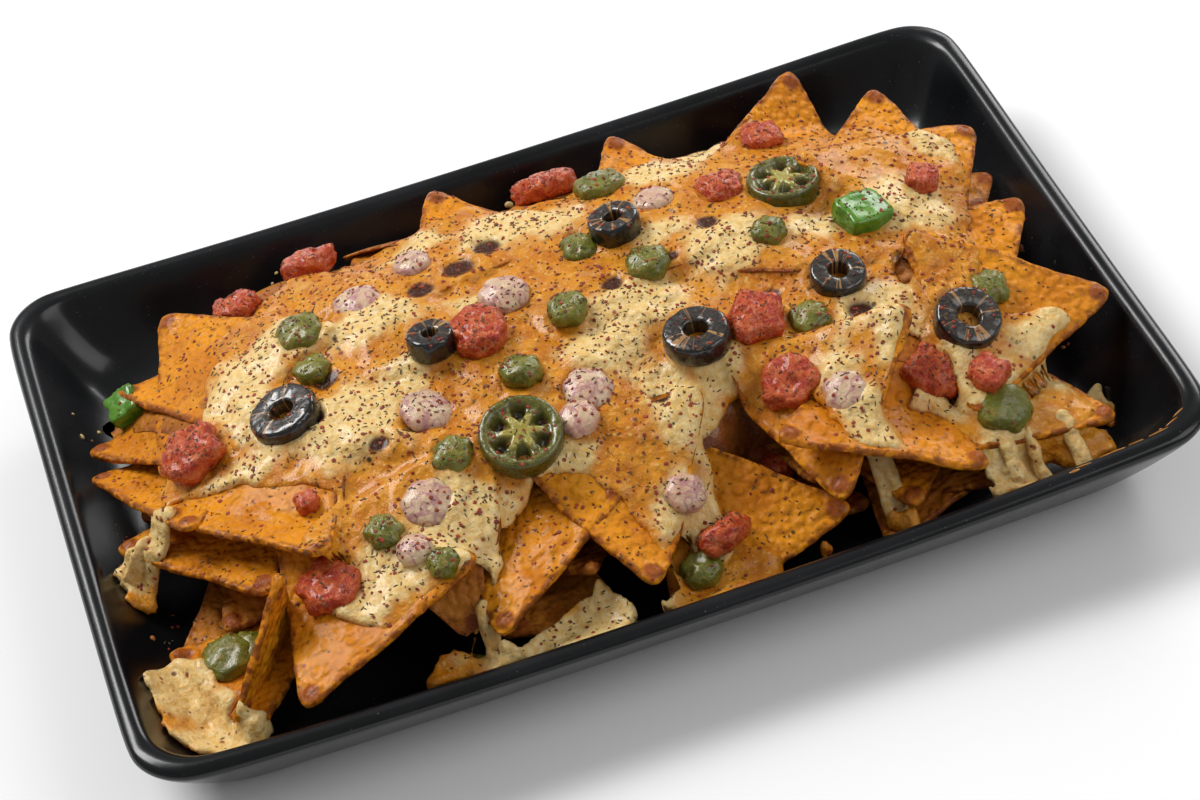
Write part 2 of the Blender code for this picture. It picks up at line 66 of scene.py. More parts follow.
HOLLOW_CHIP_SIDE = 34.0

GRID = 0.85                  # spacing of the cheese's surface
GRID_X = (-124.0, 124.0)
GRID_Y = (-80.0, 82.0)
CHEESE_FILM = 0.75           # thickness of the orange film
CREAM_DEPTH = 1.5            # how much thicker the cream patches are
CHEESE_WALL = 1.3            # thickness of the closed skin
CHEESE_SKIRT = 0.8           # how far the cheese's rim dips into what it lies on
STEEPEST_CHEESE = 3.2        # rise over run past which the cheese tears open
DEEPEST_DROP = 6.0           # it doesn't span a drop deeper than this
PIT_DEPTH = 4.2

# The mound that the chips and the cheese lie on
MOUND_LENGTH = 118.0
MOUND_WIDTH = 72.0
MOUND_SHIFT = 3.0
MOUND_FOOT = 10.0
MOUND_RISE = 33.0
CHEESE_SAG = 3.0             # between chips the cheese sags this far below the mound
# the core's dark finish is painted shade for the inside of the heap
CORE_LENGTH = 92.0           # half-sizes and depth of the dark core
CORE_WIDTH = 50.0
CORE_DEPTH = 6.0

# How far the chips, the cheese and the core each dip in an open hollow
CHIP_DIP = 16.0
CHEESE_DIP = 30.0
CORE_DIP = 24.0

SLICE_THICKNESS = 5.4        # olive and pickled chilli
HALF_SUNK = 0.58             # share of a smaller topping's thickness that stands proud
RIM_EDGE = 25.2              # height of the rim's inner edge
FLAKE_REACH = (122.0, 80.0)  # the flakes fall as far out as this
FLAKE_HOLD = 0.25            # they slide off a surface whose normal rises less than this

GOLDEN_ANGLE = 2.39996
FULL_TURN = 6.28
UP = Vector((0, 0, 1))
DOWN = Vector((0, 0, -1))
SKY = 0.2                    # metres; rays look down from this height

# Open hollows under raised chips: middle (x, y) and half-sizes
HOLLOWS = (
    ((33, -52), (14, 17)), ((-22, -61), (12, 14)), ((60, -67), (12, 10)), ((-98, -34), (12, 11)),
)

# Outline of the cheese from above, and where it runs over an edge and down to the tray
CHEESE_OUTLINE = (
    (-86, 22), (-80, 36), (-66, 47), (-52, 56), (-34, 56), (-22, 52), (-8, 60), (8, 62),
    (26, 54), (34, 50), (48, 62), (62, 58), (72, 48), (86, 40), (96, 36), (108, 24), (106, 8),
    (100, -6), (98, -22), (90, -30), (94, -38), (108, -40), (116, -48), (114, -60), (98, -68),
    (86, -74), (80, -76), (76, -68), (70, -56), (58, -55), (60, -70), (54, -74), (48, -68),
    (42, -44), (26, -42), (17, -46), (15, -58), (18, -72), (6, -78), (-2, -74), (-6, -56),
    (-12, -46), (-24, -44), (-34, -50), (-38, -60), (-46, -68), (-56, -70), (-66, -66),
    (-76, -60), (-82, -46), (-76, -36), (-66, -32), (-74, -24), (-88, -16), (-104, -10),
    (-108, -2), (-100, 4), (-92, 8),
)
PUDDLES = (
    # middle, half-sizes, least height: cheese that lies on the tray or hangs over an edge
    ((-113, -46), (9, 6), 0), ((-112, -58), (8, 10), 0), ((-106, -70), (9, 5), 0),
    ((-24, -71), (24, 6), 12.0), ((2, -73), (9, 5), 12.5), ((15, -72), (8, 6), 12.5),
    ((54, -68), (5, 9), 13.0), ((82, -71), (7, 7), 13.0), ((98, -68), (10, 5), 13.5),
    ((-50, -72), (10, 4), 12.0), ((-112, -12), (9, 4.5), 0), ((-116, -18), (4, 4), 0),
    ((104, -62), (8, 5), 13.0), ((-22, -65), (17, 6), 10.5), ((34, -66), (12, 6), 9.5),
    ((68, -62), (9, 5), 10.5),
)
# Thick cream patches: middle, half-sizes
CREAM = (
    ((-80, 12), (9, 14)), ((-66, 22), (7, 6)), ((-58, -14), (15, 12)), ((-44, 17), (13, 7)),
    ((-86, -13), (10, 5)), ((-4, 38), (15, 7)), ((42, 4), (10, 7)), ((16, -5), (11, 8)),
    ((4, -15), (10, 7)), ((15, -38), (8, 13)), ((88, 4), (9, 9)), ((104, 26), (7, 8)),
    ((67, -30), (10, 9)), ((67, -44), (6, 8)), ((81, -55), (9, 9)), ((106, -48), (10, 8)),
    ((52, -56), (5, 16)), ((-44, -50), (13, 12)), ((-59, -53), (11, 8)), ((-70, -58), (9, 6)),
    ((-17, -45), (9, 5)), ((8, -60), (8, 11)), ((27, -31), (6, 6)), ((-112, -12), (10, 6)),
    ((-113, -48), (11, 11)), ((-108, -66), (11, 9)), ((-24, -72), (24, 6)), ((82, -70), (8, 8)),
    ((36, 42), (9, 7)), ((28, 16), (9, 5)), ((-20, 12), (6, 5)), ((-30, 44), (9, 6)),
    ((64, 4), (6, 5)), ((-42, -4), (7, 5)), ((-96, -66), (8, 6)), ((50, 52), (7, 6)),
)
# Round holes that the heat opened in the cheese: x, y, width
HOLES = (
    (-31, 23, 6.5), (-20, 27, 7.5), (-11, 32, 7), (-60, 4, 6), (-66, -8, 5), (-44, -20, 6.5),
    (-38, -17, 5.5), (-7, -26, 5), (11, -34, 4.5), (40, 14, 5.5), (12, 3, 5.5), (63, -28, 6),
    (-21, -58, 4), (46, -14, 5), (80, -14, 5), (-54, -22, 4.5), (28, 6, 4),
)
# Smaller toppings: x, y and width, and a height for the ones deep in a hollow
MORE_TOMATOES = (
    (65, 45, 11), (94, 9, 9), (84, -54, 9.6), (-74, -30, 5.5), (26, -48, 9, 13.5),
    (33, -45, 8, 15.0), (60, -58, 7, 14.0),
)
MORE_ONIONS = ((-30, 34, 10), (-9, -34, 10), (8, -56, 10), (-41, -17, 13), (-55, -52, 9))
MORE_PEPPERS = (
    (-62, 9, 9), (-50, -58, 8), (-60, -44, 9), (9, 20, 9), (22, 5.5, 11), (52, 3, 9),
    (51, -26, 10), (94, -32, 10), (-97, -46, 10), (-51, -67, 11), (6, -69, 10),
)

# Tongues of hanging cheese: top (x, y), foot (x, y) and width
DRIPS = (
    ((52, -54), (54, -73), 9.0), ((82, -65), (83, -76), 6.5), ((98, -64), (99, -75), 7.0),
    ((12, -65), (13, -76), 9.0), ((-111, -12), (-119, -15), 8.0), ((-44, -64), (-46, -75), 6.0),
    ((88, -66), (89, -75), 4.0), ((4, -66), (3, -76), 5.0),
)
# Where crumbs and drops lie on the bare tray: from x to x, from y to y, how many
CRUMB_AREAS = (
    ((-118, -92), (-74, 60), 34), ((-60, 90), (66, 76), 26), ((-60, 118), (-78, -66), 60),
    ((104, 118), (-60, 60), 16),
)
DROP_AREAS = (
    ((-120, -100), (-20, 50), 16), ((-62, -34), (68, 79), 30), ((0, 8), (68, 78), 9),
    ((-50, 110), (-77, -68), 26),
)


# ---------------------------------------------------------------- working with objects
def deselect():
    if bpy.context.object is not None and bpy.context.object.mode != "OBJECT":
        bpy.ops.object.mode_set(mode="OBJECT")
    bpy.ops.object.select_all(action="DESELECT")


def activate(obj):
    """Select this object alone."""
    deselect()
    obj.select_set(True)
    bpy.context.view_layer.objects.active = obj


def apply_modifier(obj, kind, **settings):
    activate(obj)
    modifier = obj.modifiers.new(kind.lower(), kind)
    for key, value in settings.items():
        setattr(modifier, key, value)
    bpy.ops.object.modifier_apply(modifier=modifier.name)


def ruffle(obj, size, depth, direction="NORMAL"):
    """Push the surface in and out by a soft random relief."""
    relief = bpy.data.textures.new("relief", "CLOUDS")
    relief.noise_scale = size * MM
    relief.noise_depth = 1
    apply_modifier(
        obj, "DISPLACE", texture=relief, strength=depth * MM, mid_level=0.5,
        direction=direction, texture_coords="LOCAL")


def coordinates(mesh):
    """The mesh's points in millimetres, one row each."""
    flat = np.empty(len(mesh.vertices) * 3, np.float32)
    mesh.vertices.foreach_get("co", flat)
    return flat.reshape(-1, 3).astype(float) / MM


def set_coordinates(mesh, points):
    mesh.vertices.foreach_set("co", (points * MM).astype(np.float32).ravel())
    mesh.update()


def keep_values(mesh, name, values):
    """Keep one number for each point of the mesh, for the material to read."""
    attribute = mesh.attributes.new(name, "FLOAT", "POINT")
    attribute.data.foreach_set("value", np.asarray(values, np.float32))


def keep_vectors(mesh, name, vectors):
    """Keep one vector for each point of the mesh, for the material to read."""
    attribute = mesh.attributes.new(name, "FLOAT_VECTOR", "POINT")
    attribute.data.foreach_set("vector", np.asarray(vectors, np.float32).ravel())


def copy_of(source, name):
    """A copy with its own mesh."""
    obj = bpy.data.objects.new(name, source.data.copy())
    bpy.context.scene.collection.objects.link(obj)
    return obj


def join(name, objects):
    """Make several objects one, under this name."""
    activate(objects[0])
    for obj in objects:
        obj.select_set(True)
    bpy.ops.object.join()
    objects[0].name = name
    return objects[0]


def recalculate(obj):
    """Point every face outwards."""
    activate(obj)
    bpy.ops.object.mode_set(mode="EDIT")
    bpy.ops.mesh.select_all(action="SELECT")
    bpy.ops.mesh.normals_make_consistent(inside=False)
    bpy.ops.object.mode_set(mode="OBJECT")


def place_piece(obj, slot, material, *nodes):
    """Give a finished piece its material, its body and the solids that it stands for."""
    obj.data.materials.clear()
    obj.data.materials.append(material)
    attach(obj, "root")
    if nodes:
        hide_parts(*nodes)
    return obj


def remove(obj):
    bpy.data.objects.remove(obj)


def lean_to(axis):
    """Turn that takes straight up to this direction."""
    return UP.rotation_difference(axis).to_matrix().to_4x4()


def surface_below(tree, x, y):
    """Point in metres and facing of the highest surface at a place in millimetres."""
    return tree.ray_cast(Vector((x * MM, y * MM, SKY)), DOWN)[:2]


# ---------------------------------------------------------------- shader building
def new_material(name):
    material = bpy.data.materials.new(name)
    material.use_nodes = True
    return material, material.node_tree, material.node_tree.nodes["Principled BSDF"]


def put(tree, kind, values=None, **settings):
    """Add a node; values fill its sockets with numbers, or link them to other sockets."""
    node = tree.nodes.new(kind)
    for key, value in settings.items():
        setattr(node, key, value)
    for key, value in (values or {}).items():
        if isinstance(value, bpy.types.NodeSocket):
            tree.links.new(value, node.inputs[key])
        else:
            node.inputs[key].default_value = value
    return node


def blend(tree, share, first, second, mode="MIX"):
    """Mix two colours and return the mixed colour's socket."""
    node = put(tree, "ShaderNodeMix", data_type="RGBA", blend_type=mode)
    for index, value in ((0, share), (6, first), (7, second)):
        if isinstance(value, bpy.types.NodeSocket):
            tree.links.new(value, node.inputs[index])
        elif index == 0:
            node.inputs[index].default_value = value
        else:
            node.inputs[index].default_value = (*value, 1.0)
    return node.outputs[2]


def calculate(tree, operation, first, second=0.0):
    """Result of one step of arithmetic."""
    return put(tree, "ShaderNodeMath", {0: first, 1: second}, operation=operation).outputs[0]


def scaled(tree, value, factor, offset):
    """value times factor plus offset."""
    node = put(tree, "ShaderNodeMath", {0: value, 1: factor, 2: offset},
               operation="MULTIPLY_ADD")
    return node.outputs[0]


def ramp(tree, value, low, high):
    """0 below low and 1 above high, smooth between."""
    node = put(tree, "ShaderNodeMapRange", {0: value, 1: low, 2: high},
               interpolation_type="SMOOTHSTEP")
    return node.outputs[0]


def read(tree, name, output="Fac"):
    """A value that the mesh keeps for each of its points."""
    return put(tree, "ShaderNodeAttribute", attribute_name=name).outputs[output]


def place_of(tree):
    return put(tree, "ShaderNodeTexCoord").outputs["Object"]


def noise(tree, vector, per_metre, detail=3.0, roughness=0.55):
    node = put(tree, "ShaderNodeTexNoise", {"Vector": vector, "Scale": per_metre,
                                            "Detail": detail, "Roughness": roughness})
    return node.outputs["Fac"]


def bump(tree, shader, height, distance, strength=1.0):
    """Fine relief; the distance is in millimetres."""
    node = put(tree, "ShaderNodeBump", {"Height": height, "Distance": distance * MM,
                                        "Strength": strength})
    tree.links.new(node.outputs["Normal"], shader.inputs["Normal"])


def finish(shader, **values):
    """Set constants on the shader's own sockets."""
    for key, value in values.items():
        shader.inputs[key.replace("_", " ")].default_value = value


def speck_group():
    """Node group: fine dark and red seasoning that clings to the food's surface."""
    tree = bpy.data.node_groups.new("seasoning_specks", "ShaderNodeTree")
    sockets = tree.interface
    sockets.new_socket("Vector", in_out="INPUT", socket_type="NodeSocketVector")
    sockets.new_socket("Spacing", in_out="INPUT", socket_type="NodeSocketFloat")
    sockets.new_socket("Share", in_out="INPUT", socket_type="NodeSocketFloat")
    sockets.new_socket("Specks", in_out="OUTPUT", socket_type="NodeSocketFloat")
    sockets.new_socket("Tint", in_out="OUTPUT", socket_type="NodeSocketColor")
    enter = tree.nodes.new("NodeGroupInput")
    leave = tree.nodes.new("NodeGroupOutput")
    cells = put(tree, "ShaderNodeTexVoronoi",
                {"Vector": enter.outputs["Vector"], "Scale": enter.outputs["Spacing"]})
    near = ramp(tree, cells.outputs["Distance"], 0.30, 0.12)
    split = put(tree, "ShaderNodeSeparateColor", {0: cells.outputs["Color"]})
    chosen = calculate(tree, "LESS_THAN", split.outputs[0], enter.outputs["Share"])
    mask = calculate(tree, "MULTIPLY", near, chosen)
    tint = blend(tree, ramp(tree, split.outputs[1], 0.35, 0.65),
                 (0.035, 0.020, 0.008), (0.22, 0.025, 0.010))
    tree.links.new(mask, leave.inputs["Specks"])
    tree.links.new(tint, leave.inputs["Tint"])
    return tree


SPECKS = speck_group()


def add_specks(tree, colour, vector, spacing, share, strength=0.9):
    group = put(tree, "ShaderNodeGroup", node_tree=SPECKS)
    tree.links.new(vector, group.inputs["Vector"])
    group.inputs["Spacing"].default_value = spacing
    group.inputs["Share"].default_value = share
    mask = calculate(tree, "MULTIPLY", group.outputs["Specks"], strength)
    return blend(tree, mask, colour, group.outputs["Tint"])


# ---------------------------------------------------------------- materials
def tortilla_material(name, light, dark):
    """Fried corn: golden, blistered, toasted along the edges and deep brown at the corners."""
    material, tree, shader = new_material(name)
    spot = place_of(tree)
    patches = noise(tree, spot, 70.0)
    grain = noise(tree, spot, 900.0, 4.0)
    blisters = put(tree, "ShaderNodeTexVoronoi", {"Vector": spot, "Scale": 520.0},
                   feature="SMOOTH_F1")
    raised = ramp(tree, blisters.outputs["Distance"], 0.75, 0.15)
    colour = blend(tree, ramp(tree, patches, 0.35, 0.68), light, dark)
    colour = blend(tree, calculate(tree, "MULTIPLY", ramp(tree, grain, 0.48, 0.72), 0.45),
                   colour, (0.42, 0.13, 0.015))
    edge = calculate(tree, "SUBTRACT", 1.0, ramp(tree, read(tree, "edge"), 0.3, 2.2))
    toast = calculate(tree, "MULTIPLY", edge, ramp(tree, noise(tree, spot, 330.0), 0.40, 0.56))
    streak = calculate(tree, "MULTIPLY", ramp(tree, noise(tree, spot, 210.0, 2.0), 0.58, 0.72),
                       ramp(tree, raised, 0.55, 0.95))
    toast = calculate(tree, "MAXIMUM", toast, calculate(tree, "MULTIPLY", streak, 0.8))
    colour = blend(tree, calculate(tree, "MULTIPLY", toast, 0.85), colour, (0.20, 0.045, 0.008))
    corner = calculate(tree, "SUBTRACT", 1.0, ramp(tree, read(tree, "corner"), 1.7, 3.0))
    colour = blend(tree, calculate(tree, "MULTIPLY", corner, 0.9), colour, (0.27, 0.060, 0.012))
    colour = add_specks(tree, colour, spot, 620.0, 0.13)
    colour = add_specks(tree, colour, spot, 380.0, 0.05)
    tree.links.new(colour, shader.inputs["Base Color"])
    tree.links.new(scaled(tree, patches, 0.35, 0.24), shader.inputs["Roughness"])
    height = scaled(tree, grain, 0.5, raised)
    bump(tree, shader, height, 0.7, 0.85)
    finish(shader, Coat_Weight=0.10, Coat_Roughness=0.10, Specular_IOR_Level=0.12,
           Subsurface_Weight=0.05, Subsurface_Scale=0.002)
    return material


def cheese_material():
    """Melted cheese: a thin oily orange film, cream where it is thick, browned in small spots, and
    painted shade darkening the insides of its holes.
    """
    material, tree, shader = new_material("melted_cheese")
    spot = place_of(tree)
    soft = noise(tree, spot, 160.0, 3.0)
    fine = noise(tree, spot, 700.0, 3.0)
    cream = calculate(tree, "ADD", read(tree, "cream"), scaled(tree, soft, 0.7, -0.35))
    curd = put(tree, "ShaderNodeTexVoronoi", {"Vector": spot, "Scale": 360.0},
               feature="SMOOTH_F1")
    bumps = ramp(tree, curd.outputs["Distance"], 0.80, 0.10)
    cream = calculate(tree, "ADD", cream, calculate(tree, "MULTIPLY", bumps, 0.22))
    mask = ramp(tree, cream, 0.25, 0.85)
    orange = blend(tree, ramp(tree, soft, 0.35, 0.65), (0.66, 0.265, 0.018), (0.52, 0.160, 0.006))
    orange = blend(tree, ramp(tree, fine, 0.55, 0.75), orange, (0.74, 0.42, 0.10))
    pale = blend(tree, ramp(tree, fine, 0.38, 0.66), (0.82, 0.60, 0.27), (0.74, 0.46, 0.14))
    colour = blend(tree, mask, orange, pale)
    brown = calculate(tree, "MULTIPLY", ramp(tree, noise(tree, spot, 260.0, 4.0, 0.7), 0.60, 0.70),
                      ramp(tree, noise(tree, spot, 45.0), 0.42, 0.62))
    colour = blend(tree, calculate(tree, "MULTIPLY", brown, 0.6), colour, (0.42, 0.10, 0.02))
    # painted shade: the insides of the pits are darkened almost to black, as shadowed holes
    colour = blend(tree, ramp(tree, read(tree, "pit"), 0.25, 0.95), colour, (0.055, 0.012, 0.003))
    colour = add_specks(tree, colour, spot, 560.0, 0.20)
    colour = add_specks(tree, colour, spot, 330.0, 0.10)
    tree.links.new(colour, shader.inputs["Base Color"])
    tree.links.new(ramp(tree, fine, -0.2, 1.6), shader.inputs["Roughness"])
    relief = calculate(tree, "ADD", bumps, calculate(tree, "MULTIPLY", fine, 1.1))
    bump(tree, shader, relief, 0.62, 0.9)
    finish(shader, Coat_Weight=0.22, Coat_Roughness=0.12, Specular_IOR_Level=0.18,
           Subsurface_Weight=0.18, Subsurface_Scale=0.003)
    shader.inputs["Subsurface Radius"].default_value = (1.0, 0.55, 0.2)
    return material


def tray_material():
    """Black glaze with soft smears and fine pale dust."""
    material, tree, shader = new_material("black_glaze")
    spot = place_of(tree)
    smear = noise(tree, spot, 28.0, 4.0)
    dust = noise(tree, spot, 1500.0, 2.0)
    colour = blend(tree, ramp(tree, smear, 0.35, 0.7), (0.003, 0.0035, 0.004),
                   (0.008, 0.0085, 0.010))
    colour = blend(tree, calculate(tree, "MULTIPLY", ramp(tree, dust, 0.70, 0.76), 0.5),
                   colour, (0.12, 0.12, 0.12))
    tree.links.new(colour, shader.inputs["Base Color"])
    tree.links.new(scaled(tree, smear, 0.22, 0.14), shader.inputs["Roughness"])
    bump(tree, shader, calculate(tree, "ADD", smear, calculate(tree, "MULTIPLY", dust, 0.02)),
         0.35, 0.5)
    finish(shader, Coat_Weight=0.12, Coat_Roughness=0.1, Specular_IOR_Level=0.3)
    return material


def olive_material():
    """Black olive: glossy dark skin, and cut faces with pale and rusty rays."""
    material, tree, shader = new_material("black_olive")
    local = read(tree, "own_place", "Vector")
    cut = read(tree, "cut_face")
    parts = put(tree, "ShaderNodeSeparateXYZ", {0: local})
    angle = calculate(tree, "ARCTAN2", parts.outputs[1], parts.outputs[0])
    sweep = put(tree, "ShaderNodeCombineXYZ", {
        0: calculate(tree, "COSINE", angle), 1: calculate(tree, "SINE", angle),
        2: read(tree, "piece_number")})
    rays = noise(tree, sweep.outputs[0], 3.6, 3.0, 0.62)
    fine = noise(tree, place_of(tree), 900.0, 3.0)
    flesh = blend(tree, ramp(tree, fine, 0.4, 0.65), (0.030, 0.022, 0.016), (0.010, 0.008, 0.007))
    flesh = blend(tree, ramp(tree, rays, 0.57, 0.62), flesh, (0.34, 0.17, 0.05))
    flesh = blend(tree, ramp(tree, rays, 0.66, 0.71), flesh, (0.52, 0.42, 0.24))
    skin = blend(tree, ramp(tree, fine, 0.45, 0.7), (0.006, 0.006, 0.007), (0.018, 0.017, 0.016))
    colour = blend(tree, cut, skin, flesh)
    tree.links.new(colour, shader.inputs["Base Color"])
    tree.links.new(scaled(tree, cut, 0.16, 0.16), shader.inputs["Roughness"])
    bump(tree, shader, fine, 0.3, 0.6)
    finish(shader, Coat_Weight=0.5, Coat_Roughness=0.1)
    return material


def chilli_material():
    """Pickled chilli: glossy dark skin, paler flesh, yellow seeds, and painted shade that darkens
    the sunken seed pockets.
    """
    material, tree, shader = new_material("pickled_chilli")
    fine = noise(tree, place_of(tree), 800.0, 4.0)
    skin = blend(tree, ramp(tree, fine, 0.35, 0.7), (0.045, 0.048, 0.003), (0.075, 0.070, 0.005))
    flesh = blend(tree, ramp(tree, fine, 0.35, 0.65), (0.085, 0.085, 0.007), (0.14, 0.125, 0.014))
    colour = blend(tree, read(tree, "cut_face"), skin, flesh)
    colour = blend(tree, read(tree, "seed"), colour, (0.34, 0.28, 0.045))
    # painted shade: the sunken seed pockets are darkened
    colour = blend(tree, read(tree, "pocket"), colour, (0.045, 0.035, 0.006))
    colour = add_specks(tree, colour, place_of(tree), 700.0, 0.05)
    tree.links.new(colour, shader.inputs["Base Color"])
    tree.links.new(ramp(tree, fine, -0.2, 2.0), shader.inputs["Roughness"])
    bump(tree, shader, fine, 0.5, 0.7)
    finish(shader, Coat_Weight=0.5, Coat_Roughness=0.1, Subsurface_Weight=0.1,
           Subsurface_Scale=0.002)
    return material


def wet_material(name, deep, light, rim, rim_low, rim_high, grain, seasoned=0.10, depth=0.5,
                 mottle=190.0):
    """Soft wet vegetable: two tones, and a third that runs along its ridges."""
    material, tree, shader = new_material(name)
    spot = place_of(tree)
    patches = noise(tree, spot, mottle, 3.0)
    fine = noise(tree, spot, grain, 4.0, 0.65)
    colour = blend(tree, ramp(tree, patches, 0.36, 0.64), deep, light)
    veins = noise(tree, spot, 300.0, 1.0)
    ridge = calculate(tree, "ABSOLUTE", calculate(tree, "SUBTRACT", veins, 0.5))
    ridge = calculate(tree, "SUBTRACT", 1.0, ramp(tree, ridge, rim_low, rim_high))
    colour = blend(tree, calculate(tree, "MULTIPLY", ridge, 0.65), colour, rim)
    colour = add_specks(tree, colour, spot, 520.0, seasoned)
    tree.links.new(colour, shader.inputs["Base Color"])
    tree.links.new(ramp(tree, fine, -0.1, 1.8), shader.inputs["Roughness"])
    bump(tree, shader, calculate(tree, "ADD", fine, patches), depth, 0.8)
    finish(shader, Coat_Weight=0.25, Coat_Roughness=0.12, Subsurface_Weight=0.2,
           Subsurface_Scale=0.002, Specular_IOR_Level=0.4)
    return material


def flake_material(name, light, dark):
    """Dry flakes or crumbs in two shades."""
    material, tree, shader = new_material(name)
    shade_of = noise(tree, place_of(tree), 420.0, 2.0)
    tree.links.new(blend(tree, ramp(tree, shade_of, 0.38, 0.62), light, dark),
                   shader.inputs["Base Color"])
    bump(tree, shader, noise(tree, place_of(tree), 2500.0), 0.1, 0.6)
    finish(shader, Roughness=0.6)
    return material


def floor_material():
    """Plain matt white."""
    material, tree, shader = new_material("pale_floor")
    soft = noise(tree, place_of(tree), 3.0, 2.0)
    tree.links.new(blend(tree, soft, (0.90, 0.90, 0.90), (0.93, 0.93, 0.93)),
                   shader.inputs["Base Color"])
    finish(shader, Roughness=0.9)
    return material


# ---------------------------------------------------------------- the heap's shape
def mound(x, y):
    """Height of the mound of chips; x and y may be numbers or arrays."""
    spread = (np.abs(x) / MOUND_LENGTH) ** 4.0
    spread = spread + (np.abs(y - MOUND_SHIFT) / MOUND_WIDTH) ** 2.6
    swell = np.maximum(0.0, 1.0 - spread) ** 0.7
    return MOUND_FOOT + MOUND_RISE * swell


def hollow(x, y):
    """1 in the middle of an open hollow, 0 outside the hollows."""
    depth = np.zeros(np.broadcast(x, y).shape)
    for (mid_x, mid_y), (half_x, half_y) in HOLLOWS:
        reach = ((x - mid_x) / half_x) ** 2 + ((y - mid_y) / half_y) ** 2
        depth = np.maximum(depth, np.clip(1.6 * (1.0 - reach), 0.0, 1.0))
    return depth


def soft_max(first, second, width):
    """The larger of two heights, with a rounded change from one to the other."""
    gap = np.clip(0.5 + 0.5 * (first - second) / width, 0.0, 1.0)
    return second + (first - second) * gap + width * gap * (1.0 - gap)


# ---------------------------------------------------------------- chips
def chip_blank(number, cuts):
    """A flat chip with its tip towards -X: rounded corners, a wavy rim and a blistered skin."""
    deselect()
    radius = BLANK_SIDE / math.sqrt(3)
    bpy.ops.mesh.primitive_circle_add(
        vertices=3, radius=radius * MM, fill_type="TRIFAN", location=(0, 0, 0))
    blank = bpy.context.object
    blank.name = f"chip_blank_{number}"
    blank.data.transform(Matrix.Rotation(math.radians(90), 4, "Z"))
    bpy.ops.object.mode_set(mode="EDIT")
    bpy.ops.mesh.select_all(action="SELECT")
    bpy.ops.mesh.subdivide(number_cuts=cuts)
    bpy.ops.object.mode_set(mode="OBJECT")
    points = coordinates(blank.data)
    for corner in range(3):
        angle = math.radians(180 + 120 * corner)
        outwards = np.array((math.cos(angle), math.sin(angle)))
        middle = outwards * (radius - 2 * CHIP_CORNER)
        arm = points[:, :2] - middle
        reach = np.hypot(arm[:, 0], arm[:, 1]) + 1e-9
        turn = np.arccos(np.clip(arm @ outwards / reach, -1, 1))
        rounded = turn < math.radians(60)
        scale = np.where(rounded, np.cos(math.radians(60) - turn), 1.0)
        points[:, :2] = middle + arm * scale[:, None]
    rng = random.Random(20 + number)
    wave = [rng.uniform(0, FULL_TURN) for _ in range(2)]
    angle = np.arctan2(points[:, 1], points[:, 0])
    uneven = 1 + 0.010 * np.sin(5 * angle + wave[0]) + 0.008 * np.sin(11 * angle + wave[1])
    points[:, :2] *= uneven[:, None]
    set_coordinates(blank.data, points)
    apply_modifier(blank, "SOLIDIFY", thickness=CHIP_THICKNESS * MM, offset=0.0)
    apply_modifier(blank, "SUBSURF", levels=1, render_levels=1)
    layer = Matrix.Translation(Vector((0, 0, 150 * MM * number)))
    blank.data.transform(layer)
    ruffle(blank, 11.0, 1.5, "Z")
    ruffle(blank, 2.0, 0.6)
    blank.data.transform(layer.inverted())
    points = coordinates(blank.data)
    # a small knob stands on each corner, where three folds of dough met
    for corner in range(3):
        angle = math.radians(180 + 120 * corner)
        knob = np.array((math.cos(angle), math.sin(angle))) * (radius - 2 * CHIP_CORNER)
        near = np.hypot(points[:, 0] - knob[0], points[:, 1] - knob[1]) / KNOB_RADIUS
        rise = KNOB_RISE * np.clip(1 - near ** 2, 0, 1) ** 0.5
        points[:, 2] += np.sign(points[:, 2]) * rise
    set_coordinates(blank.data, points)
    return blank


def chip_marks(points, side):
    """Distance of flat points from the nearest edge and the nearest corner's knob."""
    edge = np.full(len(points), 1e3)
    corner = np.full(len(points), 1e3)
    for index in range(3):
        angle = math.radians(120 * index)
        outwards = np.array((math.cos(angle), math.sin(angle)))
        edge = np.minimum(edge, side / (2 * math.sqrt(3)) - points[:, :2] @ outwards)
        knob = -outwards * (side / math.sqrt(3) - 2 * CHIP_CORNER)
        corner = np.minimum(
            corner, np.hypot(points[:, 0] - knob[0], points[:, 1] - knob[1]))
    return np.maximum(edge, 0.0), corner


def chip_pose(node):
    """Place, length of side and bend of a triangular solid, found from its own points."""
    points = coordinates(NODES[node].data)
    centre = points.mean(axis=0)
    axes = np.linalg.svd(points - centre, full_matrices=False)[2]
    normal = axes[2] if axes[2][2] > 0 else -axes[2]
    along = axes[0]
    across = np.cross(normal, along)
    flat = np.stack(((points - centre) @ along, (points - centre) @ across), axis=1)
    best = None
    for degree in range(120):
        turns = np.radians(degree + 120 * np.arange(3))
        sides = np.stack((np.cos(turns), np.sin(turns)), axis=1)
        reach = (flat @ sides.T).max(axis=0)
        if best is None or reach.sum() < best[0].sum():
            best = (reach, sides)
    reach, sides = best
    inner = reach.sum() / 3
    middle = (2 / 3) * ((reach - inner)[:, None] * sides).sum(axis=0)
    height = (points - centre) @ normal
    least = None
    for outwards in sides:
        sideways = np.array((-outwards[1], outwards[0]))
        offset = (flat - middle) @ sideways
        basis = np.stack((np.ones(len(offset)), offset ** 2), axis=1)
        answer, _, _, _ = np.linalg.lstsq(basis, height, rcond=None)
        misfit = ((basis @ answer - height) ** 2).sum()
        if least is None or misfit < least[0]:
            least = (misfit, answer, outwards)
    _, (level, curve), outwards = least
    body = outwards[0] * along + outwards[1] * across
    place = Matrix.Identity(4)
    origin = centre + middle[0] * along + middle[1] * across + level * normal
    for row in range(3):
        place[row][0] = body[row]
        place[row][1] = np.cross(normal, body)[row]
        place[row][2] = normal[row]
        place[row][3] = origin[row]
    side = inner * 2 * math.sqrt(3)
    return place, side, float(np.clip(curve, -MOST_BEND, MOST_BEND))


